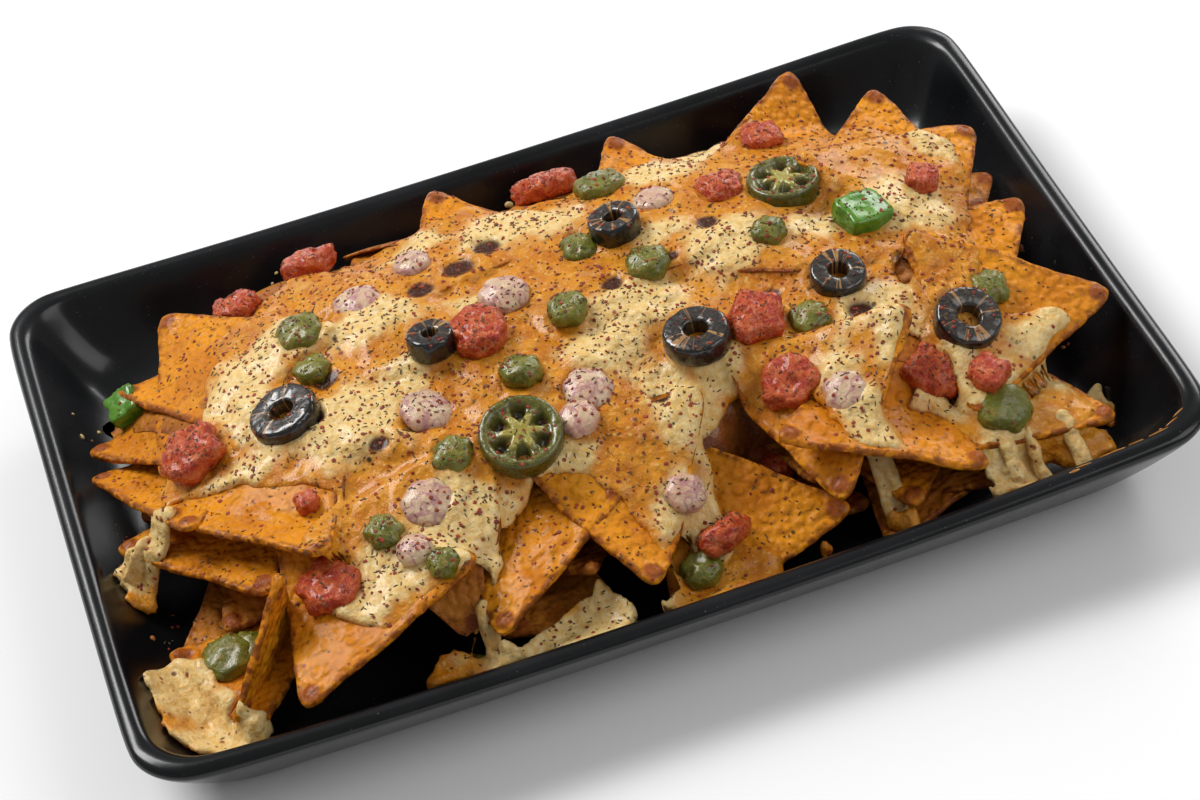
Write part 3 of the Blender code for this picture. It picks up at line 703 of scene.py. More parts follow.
def lay_chip(blank, name, place, side, curve, lift=True, settle=None):
    """Copy a blank, bend it and put it in place; lift it onto the mound or settle it under it."""
    chip = copy_of(blank, name)
    points = coordinates(chip.data)
    stretch = side / BLANK_SIDE
    points[:, :2] *= stretch
    edge, corner = chip_marks(points, side)
    points[:, 2] += curve * points[:, 1] ** 2
    matrix = np.array(place)
    points = points @ matrix[:3, :3].T + matrix[:3, 3]
    if lift:
        ground = mound(points[:, 0], points[:, 1])
        ground -= CHIP_DIP * hollow(points[:, 0], points[:, 1])
        points[:, 2] = soft_max(points[:, 2], ground + CHIP_REST, 4.0)
    if settle is not None:
        roof = np.maximum(mound(points[:, 0], points[:, 1]), INNER_ROOF) + settle
        points[:, 2] = -soft_max(-points[:, 2], -roof, 2.0)
    set_coordinates(chip.data, points)
    keep_values(chip.data, "edge", edge)
    keep_values(chip.data, "corner", corner)
    chip.data.shade_smooth()
    return chip


# Small chips that lie deep in the open hollows: x, y, z, heading and lean
HOLLOW_CHIPS = (
    (35, -52, 11, 0.5, 0.10), (24, -44, 12, 2.2, -0.15), (44, -44, 16, 1.2, 0.4),
    (-24, -60, 10, 0.2, 0.08), (-20, -50, 16, 1.7, 0.5), (60, -62, 11, 0.9, 0.06),
    (-98, -32, 11, 2.6, 0.08), (72, -58, 13, 0.1, -0.2),
)
# Chips that keep the height of their solids, because they hang out past the mound
LOW_CHIPS = ("chip_front_low", "chip_pocket", "chip_left_lower", "chip_left_three",
             "chip_corner_low", "chip_right_low", "chip_front_small", "chip_on_edge")


def build_chips(blanks, material):
    """The chips that have a solid, each in its solid's place."""
    chips = []
    names = sorted(name for name in NODES if name.startswith("chip_") and name != "chip_bed")
    for index, node in enumerate(names):
        place, side, curve = chip_pose(node)
        blank = blanks[index % len(blanks)]
        chip = lay_chip(blank, "corn_" + node, place, side, curve, lift=node not in LOW_CHIPS)
        chips.append(place_piece(chip, "tortilla", material, node))
    return chips


def inner_chip_place(index, count, rng):
    """A chip lying about flat on the mound, the places spread evenly from middle to rim."""
    share = (index + 0.5) / count
    angle = GOLDEN_ANGLE * index
    x = INNER_REACH[0] * MOUND_LENGTH * math.sqrt(share) * math.cos(angle)
    y = INNER_REACH[1] * MOUND_WIDTH * math.sqrt(share) * math.sin(angle) + MOUND_SHIFT
    slope_x = float(mound(x + 4, y) - mound(x - 4, y)) / 8
    slope_y = float(mound(x, y + 4) - mound(x, y - 4)) / 8
    normal = Vector((-slope_x, -slope_y, 1.0)).normalized()
    normal += Vector((rng.uniform(-0.16, 0.16), rng.uniform(-0.16, 0.16), 0))
    spin = Matrix.Rotation(rng.uniform(0, FULL_TURN), 4, "Z")
    height = float(mound(x, y)) - rng.uniform(0.5, 4.0)
    return Matrix.Translation((x, y, height)) @ lean_to(normal.normalized()) @ spin


def outer_chip_place(index, count, rng):
    """A chip near the foot of the heap, its tip leaning out towards the tray's wall."""
    angle = 2 * math.pi * (index + rng.uniform(-0.25, 0.25)) / count
    x = OUTER_REACH[0] * math.copysign(abs(math.cos(angle)) ** 0.6, math.cos(angle))
    y = OUTER_REACH[1] * math.copysign(abs(math.sin(angle)) ** 0.6, math.sin(angle)) + 4
    heading = math.atan2(-y, -x) + rng.uniform(-0.5, 0.5)
    rise = math.radians(rng.uniform(4, 16))
    turn = Matrix.Rotation(heading, 4, "Z") @ Matrix.Rotation(-rise, 4, "Y")
    roll = Matrix.Rotation(rng.uniform(-0.25, 0.25), 4, "X")
    return Matrix.Translation((x, y, rng.uniform(15, 20))) @ turn @ roll


def build_inner_chips(light_blanks, blanks, material):
    """The rest of the chips: one piece inside the heap, and one round its foot."""
    rng = random.Random(5)
    chips = []
    for index in range(INNER_CHIPS):
        place = inner_chip_place(index, INNER_CHIPS, rng)
        side = rng.uniform(44, 54)
        chip = lay_chip(light_blanks[index % len(light_blanks)], "inner", place, side,
                        rng.uniform(-0.003, 0.001), lift=False, settle=0.8)
        points = coordinates(chip.data)
        if hollow(points[:, 0], points[:, 1]).max() > 0.25:
            remove(chip)
            continue
        chips.append(chip)
    # these chips, and those round the foot and in the hollows below, take the darker chip finish
    # that paints their shade
    inner = place_piece(join("inner_chips", chips), "chip_bed", material, "chip_bed")
    chips = []
    for index in range(OUTER_CHIPS):
        place = outer_chip_place(index, OUTER_CHIPS, rng)
        chip = lay_chip(blanks[index % len(blanks)], "outer", place, rng.uniform(46, 54),
                        rng.uniform(-0.003, 0.003), lift=False, settle=-1.0)
        chips.append(chip)
    for index, (x, y, z, heading, lean) in enumerate(HOLLOW_CHIPS):
        place = Matrix.Translation((x, y, z)) @ Matrix.Rotation(heading, 4, "Z")
        place = place @ Matrix.Rotation(lean, 4, "Y")
        chips.append(lay_chip(blanks[index % len(blanks)], "low", place, HOLLOW_CHIP_SIDE, 0.004,
                              lift=False))
    outer = place_piece(join("outer_chips", chips), "chip_bed", material)
    return [inner, outer]


# ---------------------------------------------------------------- fields over the heap
class Field:
    """Values on an even grid seen from above."""

    xs = np.arange(GRID_X[0], GRID_X[1] + GRID / 2, GRID)
    ys = np.arange(GRID_Y[0], GRID_Y[1] + GRID / 2, GRID)
    x, y = np.meshgrid(xs, ys, indexing="ij")


def blur(values, width):
    """Soften a field by a bell curve of this width in millimetres."""
    reach = int(math.ceil(3 * width / GRID))
    steps = np.arange(-reach, reach + 1) * GRID
    bell = np.exp(-0.5 * (steps / width) ** 2)
    bell /= bell.sum()
    padded = np.pad(values, reach, mode="edge")
    rows = sum(w * padded[i:i + values.shape[0], :] for i, w in enumerate(bell))
    return sum(w * rows[:, i:i + values.shape[1]] for i, w in enumerate(bell))


def highest_within(values, width):
    """The highest value within this distance."""
    reach = int(round(width / GRID))
    padded = np.pad(values, reach, mode="edge")
    best = values.copy()
    for i in range(2 * reach + 1):
        for j in range(2 * reach + 1):
            if (i - reach) ** 2 + (j - reach) ** 2 <= reach ** 2:
                best = np.maximum(
                    best, padded[i:i + values.shape[0], j:j + values.shape[1]])
    return best


def cloud(size, seed):
    """Soft random field between -1 and 1 with features of this size."""
    rng = np.random.default_rng(seed)
    count_x = int((GRID_X[1] - GRID_X[0]) / size) + 4
    count_y = int((GRID_Y[1] - GRID_Y[0]) / size) + 4
    knots = rng.uniform(-1, 1, (count_x, count_y))
    u = (Field.x - GRID_X[0]) / size
    v = (Field.y - GRID_Y[0]) / size
    i = u.astype(int)
    j = v.astype(int)
    s = u - i
    t = v - j
    s = s * s * (3 - 2 * s)
    t = t * t * (3 - 2 * t)
    low = knots[i, j] * (1 - s) + knots[i + 1, j] * s
    high = knots[i, j + 1] * (1 - s) + knots[i + 1, j + 1] * s
    return low * (1 - t) + high * t


def oval_cover(ovals, soft=0.35):
    """1 inside any of the ovals, fading to 0 at their edges."""
    total = np.zeros_like(Field.x)
    shift_x = Field.x + 2.6 * cloud(7, 31) + 1.2 * cloud(3, 32)
    shift_y = Field.y + 2.6 * cloud(7, 33) + 1.2 * cloud(3, 34)
    rough = 0.14 * cloud(2.6, 35) + 0.10 * cloud(5, 36)
    for (mid_x, mid_y), (half_x, half_y) in ovals:
        reach = np.hypot((shift_x - mid_x) / half_x, (shift_y - mid_y) / half_y) + rough
        total = np.maximum(total, np.clip((1 + soft - reach) / (2 * soft), 0, 1))
    return total


def outline_cover(outline):
    """1 for the grid's points inside a closed outline."""
    x = Field.x + 1.6 * cloud(6, 41) + 0.8 * cloud(2.5, 42)
    y = Field.y + 1.6 * cloud(6, 43) + 0.8 * cloud(2.5, 44)
    within = np.zeros(x.shape, bool)
    for (x0, y0), (x1, y1) in zip(outline, outline[1:] + outline[:1]):
        if y0 == y1:
            continue
        crosses = (y > min(y0, y1)) & (y <= max(y0, y1))
        within ^= crosses & (x < x0 + (y - y0) * (x1 - x0) / (y1 - y0))
    return within.astype(float)


def tree_of(objects):
    """One ray-cast tree over the meshes of several pieces."""
    shape = bmesh.new()
    for obj in objects:
        shape.from_mesh(obj.data)
    tree = BVHTree.FromBMesh(shape)
    shape.free()
    return tree


def skyline(tree, default):
    """Height in millimetres of the highest surface over each point of the grid."""
    heights = np.full(Field.x.shape, default, float)
    for i, x in enumerate(Field.xs):
        for j, y in enumerate(Field.ys):
            hit = surface_below(tree, x, y)[0]
            if hit is not None:
                heights[i, j] = hit.z / MM
    return heights


def sample(values, x, y):
    """A field's value at any point."""
    i = np.clip((np.asarray(x) - GRID_X[0]) / GRID, 0, len(Field.xs) - 1.001)
    j = np.clip((np.asarray(y) - GRID_Y[0]) / GRID, 0, len(Field.ys) - 1.001)
    a = i.astype(int)
    b = j.astype(int)
    s = i - a
    t = j - b
    low = values[a, b] * (1 - s) + values[a + 1, b] * s
    high = values[a, b + 1] * (1 - s) + values[a + 1, b + 1] * s
    return low * (1 - t) + high * t


# ---------------------------------------------------------------- cheese
def cheese_fields(chip_tree, tray_tree, toppings):
    """Top of the cheese, where it lies, how creamy it is, and how pitted it is; the pits also get
    painted shade.
    """
    chips = skyline(chip_tree, 0.0)
    floor = skyline(tray_tree, 0.0)
    core = mound(Field.x, Field.y) - CHEESE_SAG - CHEESE_DIP * hollow(Field.x, Field.y)
    support = np.maximum(np.maximum(chips, core), floor)

    cream = np.clip(oval_cover(CREAM) + 0.30 * cloud(9, 51) + 0.22 * cloud(3.5, 52), 0, 1)
    cream = blur(cream, 1.5)
    runs = np.zeros_like(support)
    for middle, half, level in PUDDLES:
        run = oval_cover([(middle, half)], 0.12) > 0.5
        if level:
            run &= support < level + 5
        runs[run] = 1.0
        support = np.where(run, np.maximum(support, level), support)
    covered = np.maximum(outline_cover(CHEESE_OUTLINE), runs)
    # it stops at the edge of a chip that stands over a gap, except where it runs down
    drop = highest_within(blur(support, 0.6), 2.2) - support
    covered = np.where((drop > DEEPEST_DROP) & (runs < 0.5), 0.0, covered)
    covered = np.where((hollow(Field.x, Field.y) > 0.3) & (support < 24) & (runs < 0.5),
                       0.0, covered)
    slope_x, slope_y = np.gradient(blur(support, 1.2), GRID)
    covered = np.where(np.hypot(slope_x, slope_y) > STEEPEST_CHEESE, 0.0, covered)
    cover = blur(covered, 1.0)
    body = np.clip((cover - 0.5) / 0.42, 0, 1)
    body = np.sqrt(np.clip(1 - (1 - body) ** 2, 0, 1))

    melted = blur(support, 1.5)
    wide = blur(support, 3.2)
    top = soft_max(melted, support - 0.25, 0.8)
    thick = CHEESE_FILM + CREAM_DEPTH * cream * (0.75 + 0.25 * cloud(5, 53))
    thick += np.clip(0.35 * (wide - melted), -0.5, 1.4)
    thick += 0.24 * cloud(2.6, 54) + 0.55 * cloud(5.5, 56) + 0.25 * cream * cloud(3.5, 57)
    thick = np.maximum(thick, 0.35) + 0.9 * runs
    top = top - CHEESE_SKIRT + (thick + CHEESE_SKIRT) * body

    pit = np.zeros_like(top)
    for x, y, width in HOLES:
        reach = np.hypot(Field.x - x, (Field.y - y) * 1.15) / (width / 2)
        reach = reach + 0.16 * cloud(2.5, int(abs(x)) + 60)
        pit = np.maximum(pit, np.clip(1.45 - reach, 0, 1))
        top += 0.35 * np.exp(-((reach - 1.40) / 0.40) ** 2)
    pit = np.clip(pit * 1.4, 0, 1)
    deep = np.maximum(top - PIT_DEPTH * pit ** 1.5, support + 0.25)
    top = np.where(pit > 0.02, np.minimum(top, deep), top)

    for x, y, radius, bottom in toppings:
        reach = np.hypot(Field.x - x, Field.y - y)
        pad = np.clip((radius * 0.95 - reach) / 2.0, 0, 1)
        top = np.maximum(top, np.where(pad > 0, top + (bottom + 1.6 - top) * pad, -1e3))
        lip = np.exp(-((reach - radius - 0.4) / 1.1) ** 2)
        top += 0.75 * lip * body
    return top, cover, cream, pit


def build_cheese(fields, material):
    """One closed skin of cheese over the heap, from its fields."""
    top, cover, cream, pit = fields
    within = cover > 0.5
    cells = within[:-1, :-1] | within[1:, :-1] | within[:-1, 1:] | within[1:, 1:]
    used = np.zeros(top.shape, bool)
    for i, j in ((0, 0), (1, 0), (0, 1), (1, 1)):
        used[i:i + cells.shape[0], j:j + cells.shape[1]] |= cells
    number = np.full(top.shape, -1)
    number[used] = np.arange(used.sum())
    # the outermost points slide onto the cheese's own outline
    slope_x, slope_y = np.gradient(cover, GRID)
    step = np.where(within, 0.0, 0.5 - cover) / (slope_x ** 2 + slope_y ** 2 + 1e-4)
    x = Field.x + np.clip(step * slope_x, -0.8 * GRID, 0.8 * GRID)
    y = Field.y + np.clip(step * slope_y, -0.8 * GRID, 0.8 * GRID)
    points = np.stack((x[used], y[used], sample(top, x[used], y[used])), axis=1)
    a = number[:-1, :-1][cells]
    b = number[1:, :-1][cells]
    c = number[1:, 1:][cells]
    d = number[:-1, 1:][cells]
    faces = np.stack((a, b, c, d), axis=1)
    mesh = bpy.data.meshes.new("cheese")
    mesh.from_pydata((points * MM).tolist(), [], faces.tolist())
    cheese = bpy.data.objects.new("cheese_blanket", mesh)
    bpy.context.scene.collection.objects.link(cheese)
    activate(cheese)
    keep_values(mesh, "cream", cream[used])
    # the pit mask also sets where the material paints shade into the holes
    keep_values(mesh, "pit", pit[used])
    apply_modifier(cheese, "SOLIDIFY", thickness=CHEESE_WALL * MM, offset=-1.0)
    apply_modifier(cheese, "SMOOTH", factor=0.5, iterations=4)
    cheese.data.shade_smooth()
    return place_piece(cheese, "cheese", material, "melted_cheese")


def build_core(material):
    """The inside of the heap, seen only through gaps; its dark finish is painted shade."""
    deselect()
    bpy.ops.mesh.primitive_grid_add(x_subdivisions=60, y_subdivisions=40, size=2 * MM)
    core = bpy.context.object
    points = coordinates(core.data)
    u = points[:, 0].copy()
    v = points[:, 1].copy()
    reach = np.maximum(np.abs(u), np.abs(v))
    round_off = reach / np.maximum(np.hypot(u, v), 1e-6)
    x = u * round_off * CORE_LENGTH
    y = v * round_off * CORE_WIDTH + MOUND_SHIFT
    lumps = 1.5 * np.sin(x / 5.1) * np.cos(y / 4.3 + 1)
    z = mound(x, y) - CORE_DEPTH - CORE_DIP * hollow(x, y)
    z = np.maximum(z, 8.5) + lumps
    z = np.where(reach > 0.985, 7.0, z)
    set_coordinates(core.data, np.stack((x, y, z), axis=1))
    apply_modifier(core, "SOLIDIFY", thickness=1.2 * MM, offset=-1.0)
    core.name = "heap_core"
    core.data.shade_smooth()
    place_piece(core, "chip_bed", material)


# ---------------------------------------------------------------- toppings
def disc_pose(node):
    """Centre of the top face, axis and radius of a low round solid."""
    points = coordinates(NODES[node].data)
    low, high = points.min(axis=0), points.max(axis=0)
    axes = np.linalg.svd(points - points.mean(axis=0), full_matrices=False)[2]
    axis = max(axes, key=lambda row: abs(row[2]))
    axis = Vector(axis if axis[2] > 0 else -axis)
    top = max(axis.dot(Vector(point)) for point in points)
    middle = Vector((low + high) / 2)
    middle += axis * (top - axis.dot(middle))
    radius = max((Vector(p) - middle - axis * axis.dot(Vector(p) - middle)).length
                 for p in points)
    return middle, axis, radius


def seat(obj, top_middle, axis, turn):
    """Put a piece modelled with its top face at the origin onto its place."""
    place = Matrix.Translation(top_middle * MM) @ lean_to(axis)
    obj.data.transform(place @ Matrix.Rotation(turn, 4, "Z"))


def keep_own_place(obj, number):
    """Remember each point's place in the piece itself, so that patterns follow it."""
    points = coordinates(obj.data)
    keep_vectors(obj.data, "own_place", points)
    keep_values(obj.data, "piece_number", np.full(len(points), float(number)))
    return points


def slice_of(diameter, thickness, segments=40):
    """A round slice, its top face at the origin."""
    deselect()
    bpy.ops.mesh.primitive_cylinder_add(
        vertices=segments, radius=diameter / 2 * MM, depth=thickness * MM,
        end_fill_type="NGON", location=(0, 0, 0))
    obj = bpy.context.object
    obj.data.transform(Matrix.Translation((0, 0, -thickness / 2 * MM)))
    obj.location = (0, 0, 0)
    return obj


def select_ends(obj):
    """In edit mode: only the flat end faces are selected."""
    shape = bmesh.from_edit_mesh(obj.data)
    for face in shape.faces:
        face.select_set(abs(face.normal.z) > 0.9)
    bmesh.update_edit_mesh(obj.data)


def olive(diameter, thickness, number):
    """A slice of black olive: bulging skin, flat cut faces and a hole for the stone."""
    obj = slice_of(diameter, thickness)
    bpy.ops.object.mode_set(mode="EDIT")
    bpy.ops.mesh.select_mode(type="FACE")
    select_ends(obj)
    bpy.ops.mesh.inset(thickness=diameter * 0.07 * MM, depth=0.35 * MM, use_individual=True)
    bpy.ops.mesh.inset(thickness=diameter * 0.235 * MM, depth=0.0, use_individual=True)
    bpy.ops.mesh.inset(thickness=0.5 * MM, depth=-0.6 * MM, use_individual=True)
    bpy.ops.mesh.bridge_edge_loops()
    bpy.ops.object.mode_set(mode="OBJECT")
    apply_modifier(obj, "SUBSURF", levels=2, render_levels=2)
    layer = Matrix.Translation((0, 0, 0.1 * number))
    obj.data.transform(layer)
    ruffle(obj, 3.0, 0.55)
    obj.data.transform(layer.inverted())
    points = keep_own_place(obj, number)
    reach = np.hypot(points[:, 0], points[:, 1]) / (diameter / 2)
    normals = np.array([v.normal[:] for v in obj.data.vertices])
    cut = np.clip((np.abs(normals[:, 2]) - 0.7) / 0.15, 0, 1) * (reach < 0.9)
    inner = np.clip((0.55 - reach) / 0.1, 0, 1)
    keep_values(obj.data, "cut_face", np.maximum(cut, inner))
    obj.data.shade_smooth()
    return obj


def chilli(diameter, thickness, number):
    """A pickled chilli ring: skin and wall, six seed pockets and a star of pale flesh."""
    obj = slice_of(diameter, thickness, 48)
    bpy.ops.object.mode_set(mode="EDIT")
    bpy.ops.mesh.select_mode(type="FACE")
    select_ends(obj)
    bpy.ops.mesh.inset(thickness=diameter * 0.035 * MM, depth=0.3 * MM, use_individual=True)
    bpy.ops.mesh.inset(thickness=diameter * 0.085 * MM, depth=0.0, use_individual=True)
    bpy.ops.mesh.inset(thickness=0.5 * MM, depth=-0.9 * MM, use_individual=True)
    for _ in range(5):
        bpy.ops.mesh.inset(thickness=diameter * 0.055 * MM, depth=0.0, use_individual=True)
    bpy.ops.object.mode_set(mode="OBJECT")
    apply_modifier(obj, "SUBSURF", levels=1, render_levels=1)
    points = coordinates(obj.data)
    reach = np.hypot(points[:, 0], points[:, 1]) / (diameter / 2)
    angle = np.arctan2(points[:, 1], points[:, 0])
    lobe = 0.5 + 0.5 * np.cos(6 * angle)
    pocket = np.exp(-((reach - 0.56) / 0.15) ** 2) * np.clip(lobe * 2.2 - 0.7, 0, 1)
    star = np.clip((0.56 - 0.26 * lobe - reach) / 0.10, 0, 1)
    upper = points[:, 2] > -thickness * 0.6
    points[:, 2] += np.where(upper & (reach < 0.78), -2.4 * pocket + 0.7 * star, 0)
    set_coordinates(obj.data, points)
    ruffle(obj, 3.0, 0.35)
    points = keep_own_place(obj, number)
    normals = np.array([v.normal[:] for v in obj.data.vertices])
    face = np.clip((normals[:, 2] - 0.3) / 0.4, 0, 1)
    keep_values(obj.data, "cut_face", np.maximum(face, np.clip((0.82 - reach) / 0.06, 0, 1)))
    # the pocket mask also sets where the material paints shade into the pockets
    keep_values(obj.data, "pocket", np.clip(1.7 * pocket - 0.2, 0, 1))
    keep_values(obj.data, "seed", star)
    obj.data.shade_smooth()
    return obj


def lump(size, seed, thickness, lobes, depth, roughness, squareness):
    """A soft uneven piece with a lobed rim, its top at the origin."""
    deselect()
    bpy.ops.mesh.primitive_ico_sphere_add(subdivisions=4, radius=1 * MM, location=(0, 0, 0))
    obj = bpy.context.object
    points = coordinates(obj.data)
    if squareness:
        biggest = np.abs(points).max(axis=1, keepdims=True)
        points = points * ((1 - squareness) + squareness / biggest * 0.86)
    angle = np.arctan2(points[:, 1], points[:, 0])
    rng = random.Random(seed)
    wobble = 1 + depth * np.cos(lobes * angle + rng.uniform(0, FULL_TURN))
    wobble += 0.5 * depth * np.cos((lobes - 2) * angle + rng.uniform(0, FULL_TURN))
    points[:, 0] *= size / 2 * wobble * rng.uniform(0.94, 1.06)
    points[:, 1] *= size / 2 * wobble * rng.uniform(0.90, 1.06)
    flat = np.sign(points[:, 2]) * np.abs(points[:, 2]) ** 0.8
    points[:, 2] = flat * thickness / 2 - thickness / 2
    set_coordinates(obj.data, points)
    layer = Matrix.Translation((0.07 * seed, 0, 0))
    obj.data.transform(layer)
    ruffle(obj, size * 0.22, roughness * 1.6)
    ruffle(obj, size * 0.08, roughness * 0.8)
    obj.data.transform(layer.inverted())
    obj.data.shade_smooth()
    return obj


# Shapes of the soft toppings
ONION = {"lobes": 7, "depth": 0.03, "roughness": 0.38, "squareness": 0.0}
PEPPER = {"lobes": 6, "depth": 0.05, "roughness": 0.7, "squareness": 0.15}
BRIGHT_PEPPER = {"lobes": 6, "depth": 0.05, "roughness": 0.45, "squareness": 0.75}
BRIGHT_NODES = ("green_pepper_06", "green_pepper_07")


def build_toppings(materials):
    """Every topping that has a solid, each in its solid's place."""
    made = []
    rests = []

    def nodes_called(start):
        return enumerate(sorted(name for name in NODES if name.startswith(start)))

    def add(obj, name, slot, material, node, pose, thickness, turn):
        middle, axis, radius = pose
        seat(obj, middle, axis, turn)
        obj.name = name
        made.append(place_piece(obj, slot, material, node))
        rests.append((middle.x - axis.x * thickness, middle.y - axis.y * thickness, radius,
                      middle.z - thickness))

    for index, node in nodes_called("olive_"):
        pose = disc_pose(node)
        obj = olive(2 * pose[2], SLICE_THICKNESS, index)
        add(obj, node.replace("olive", "olive_ring"), "olive", materials["olive"], node, pose,
            SLICE_THICKNESS, 0.7 * index)
    for index, node in nodes_called("pickled_chilli_"):
        pose = disc_pose(node)
        obj = chilli(2 * pose[2], SLICE_THICKNESS, index)
        add(obj, node.replace("chilli", "chilli_ring"), "pickled_chilli",
            materials["pickled_chilli"], node, pose, SLICE_THICKNESS, 0.3)
    tomato = {"lobes": 5, "depth": 0.08, "roughness": 1.25, "squareness": 0.35}
    kinds = (
        # name, kind, thickness, how far it sinks into the cheese, shape
        ("tomato_die", "tomato", 7.4, 2.3, tomato),
        ("onion_piece", "onion", 6.0, 1.4, ONION),
        ("green_pepper_piece", "green_pepper", 6.4, 1.4, PEPPER),
    )
    for called, kind, thickness, sink, usual in kinds:
        for index, node in nodes_called(kind + "_"):
            middle, axis, radius = disc_pose(node)
            bright = node in BRIGHT_NODES
            shape = BRIGHT_PEPPER if bright else usual
            obj = lump(2 * radius * 0.93, index + 10 * shape["lobes"], thickness, **shape)
            add(obj, node.replace(kind, called), kind,
                materials["bright_pepper" if bright else kind], node,
                (middle - axis * sink, axis, radius), thickness, 1.3 * index)
    return made, rests


def build_more_toppings(tree, materials):
    """The smaller toppings that are half sunk in the cheese, one piece for each kind."""
    tomato = {"lobes": 5, "depth": 0.05, "roughness": 0.75, "squareness": 0.5}
    kinds = (
        ("more_tomato", "tomato", MORE_TOMATOES, 6.5, tomato),
        ("more_onion", "onion", MORE_ONIONS, 5.4, ONION),
        ("more_green_pepper", "green_pepper", MORE_PEPPERS, 5.6, PEPPER),
    )
    made = []
    for name, kind, spots, thickness, shape in kinds:
        pieces = []
        for index, (x, y, size, *level) in enumerate(spots):
            hit, normal = surface_below(tree, x, y)
            if level:
                hit = Vector((x, y, level[0])) * MM
                normal = UP
            obj = lump(size, 200 + index + 10 * shape["lobes"], thickness, **shape)
            axis = (normal + 1.5 * UP).normalized()
            seat(obj, hit / MM + axis * thickness * HALF_SUNK, axis, 1.1 * index)
            pieces.append(obj)
        made.append(place_piece(join(name, pieces), kind, materials[kind]))
    return made


# ---------------------------------------------------------------- sprinkles
def bit_outline(size, least, corners, rng):
    """Uneven outline of a small bit, its corners at these angles."""
    return [(size / 2 * rng.uniform(least, 1.1) * math.cos(angle),
             size / 2 * rng.uniform(least, 1.1) * math.sin(angle)) for angle in corners]


def flake_shape(kind, rng):
    """Points and faces of one flake about 1 mm long, lying flat."""
    if kind == "herb":
        length, width, lift = rng.uniform(0.6, 1.8), rng.uniform(0.22, 0.5), 0.2
        ring = [(-length / 2, 0), (-length / 5, -width / 2), (length / 4, -width / 2.4),
                (length / 2, width * rng.uniform(-0.4, 0.4)), (length / 5, width / 2),
                (-length / 4, width / 2.2)]
    elif kind == "chilli":
        ring = bit_outline(rng.uniform(0.5, 1.5), 0.6, (0, 1.2, 2.4, 3.6, 5.0), rng)
        lift = 0.28
    else:
        ring = bit_outline(rng.uniform(0.22, 0.55), 0.8, (0, 1.25, 2.5, 3.8, 5.0), rng)
        lift = 0.35
    count = len(ring)
    points = [(x, y, -0.12 * rng.random()) for x, y in ring]
    points += [(x * 0.7, y * 0.7, lift * rng.uniform(0.5, 1.0)) for x, y in ring]
    faces = [tuple(range(count))[::-1], tuple(range(count, 2 * count))]
    for i in range(count):
        j = (i + 1) % count
        faces.append((i, j, count + j, count + i))
    return points, faces


def surface_place(hit, normal, spin):
    """Place of a piece that lies on a surface and is turned by spin."""
    return Matrix.Translation(hit) @ lean_to(normal) @ Matrix.Rotation(spin, 4, "Z")


def scatter(name, kind, count, tree, density, seed, material, slot):
    """Strew flakes on whatever lies uppermost, as one piece."""
    rng = random.Random(seed)
    points = []
    faces = []
    placed = 0
    tries = 0
    while placed < count and tries < count * 12:
        tries += 1
        x, y = (rng.uniform(-reach, reach) for reach in FLAKE_REACH)
        if rng.random() > float(sample(density, x, y)):
            continue
        hit, normal = surface_below(tree, x, y)
        if hit is None or normal.z < FLAKE_HOLD:
            continue
        shape, sides = flake_shape(kind, rng)
        place = surface_place(hit / MM, normal, rng.uniform(0, FULL_TURN))
        place = place @ Matrix.Rotation(rng.uniform(-0.3, 0.3), 4, "X")
        base = len(points)
        points += [(place @ Vector(point))[:] for point in shape]
        faces += [tuple(base + index for index in face) for face in sides]
        placed += 1
    mesh = bpy.data.meshes.new(name)
    mesh.from_pydata([tuple(c * MM for c in point) for point in points], [], faces)
    obj = bpy.data.objects.new(name, mesh)
    bpy.context.scene.collection.objects.link(obj)
    recalculate(obj)
    return place_piece(obj, slot, material)


def bead(place, length, width, height, subdivisions=2):
    """A low drop or crumb lying on a surface."""
    deselect()
    bpy.ops.mesh.primitive_ico_sphere_add(
        subdivisions=subdivisions, radius=1 * MM, location=(0, 0, 0))
    obj = bpy.context.object
    obj.data.transform(place @ Matrix.Diagonal((length / 2, width / 2, height, 1)))
    return obj


def build_spatter(name, areas, sizes, tray_tree, food_tree, seed, material, slot):
    """Small drops or crumbs that fell on the bare tray, as one piece."""
    rng = random.Random(seed)
    beads = []
    for across, away, count in areas:
        for _ in range(count):
            x, y = rng.uniform(*across), rng.uniform(*away)
            hit, normal = surface_below(tray_tree, x, y)
            above = surface_below(food_tree, x, y)[0]
            if hit is None or above.z > hit.z + 0.5 * MM:
                continue
            length = rng.uniform(*sizes)
            place = surface_place(hit, normal, rng.uniform(0, FULL_TURN))
            beads.append(bead(place, length, length * rng.uniform(0.5, 1.0), length * 0.28))
    piece = join(name, beads)
    ruffle(piece, 1.2, 0.5)
    keep_values(piece.data, "cream", np.full(len(piece.data.vertices), 0.8))
    piece.data.shade_smooth()
    return place_piece(piece, slot, material)


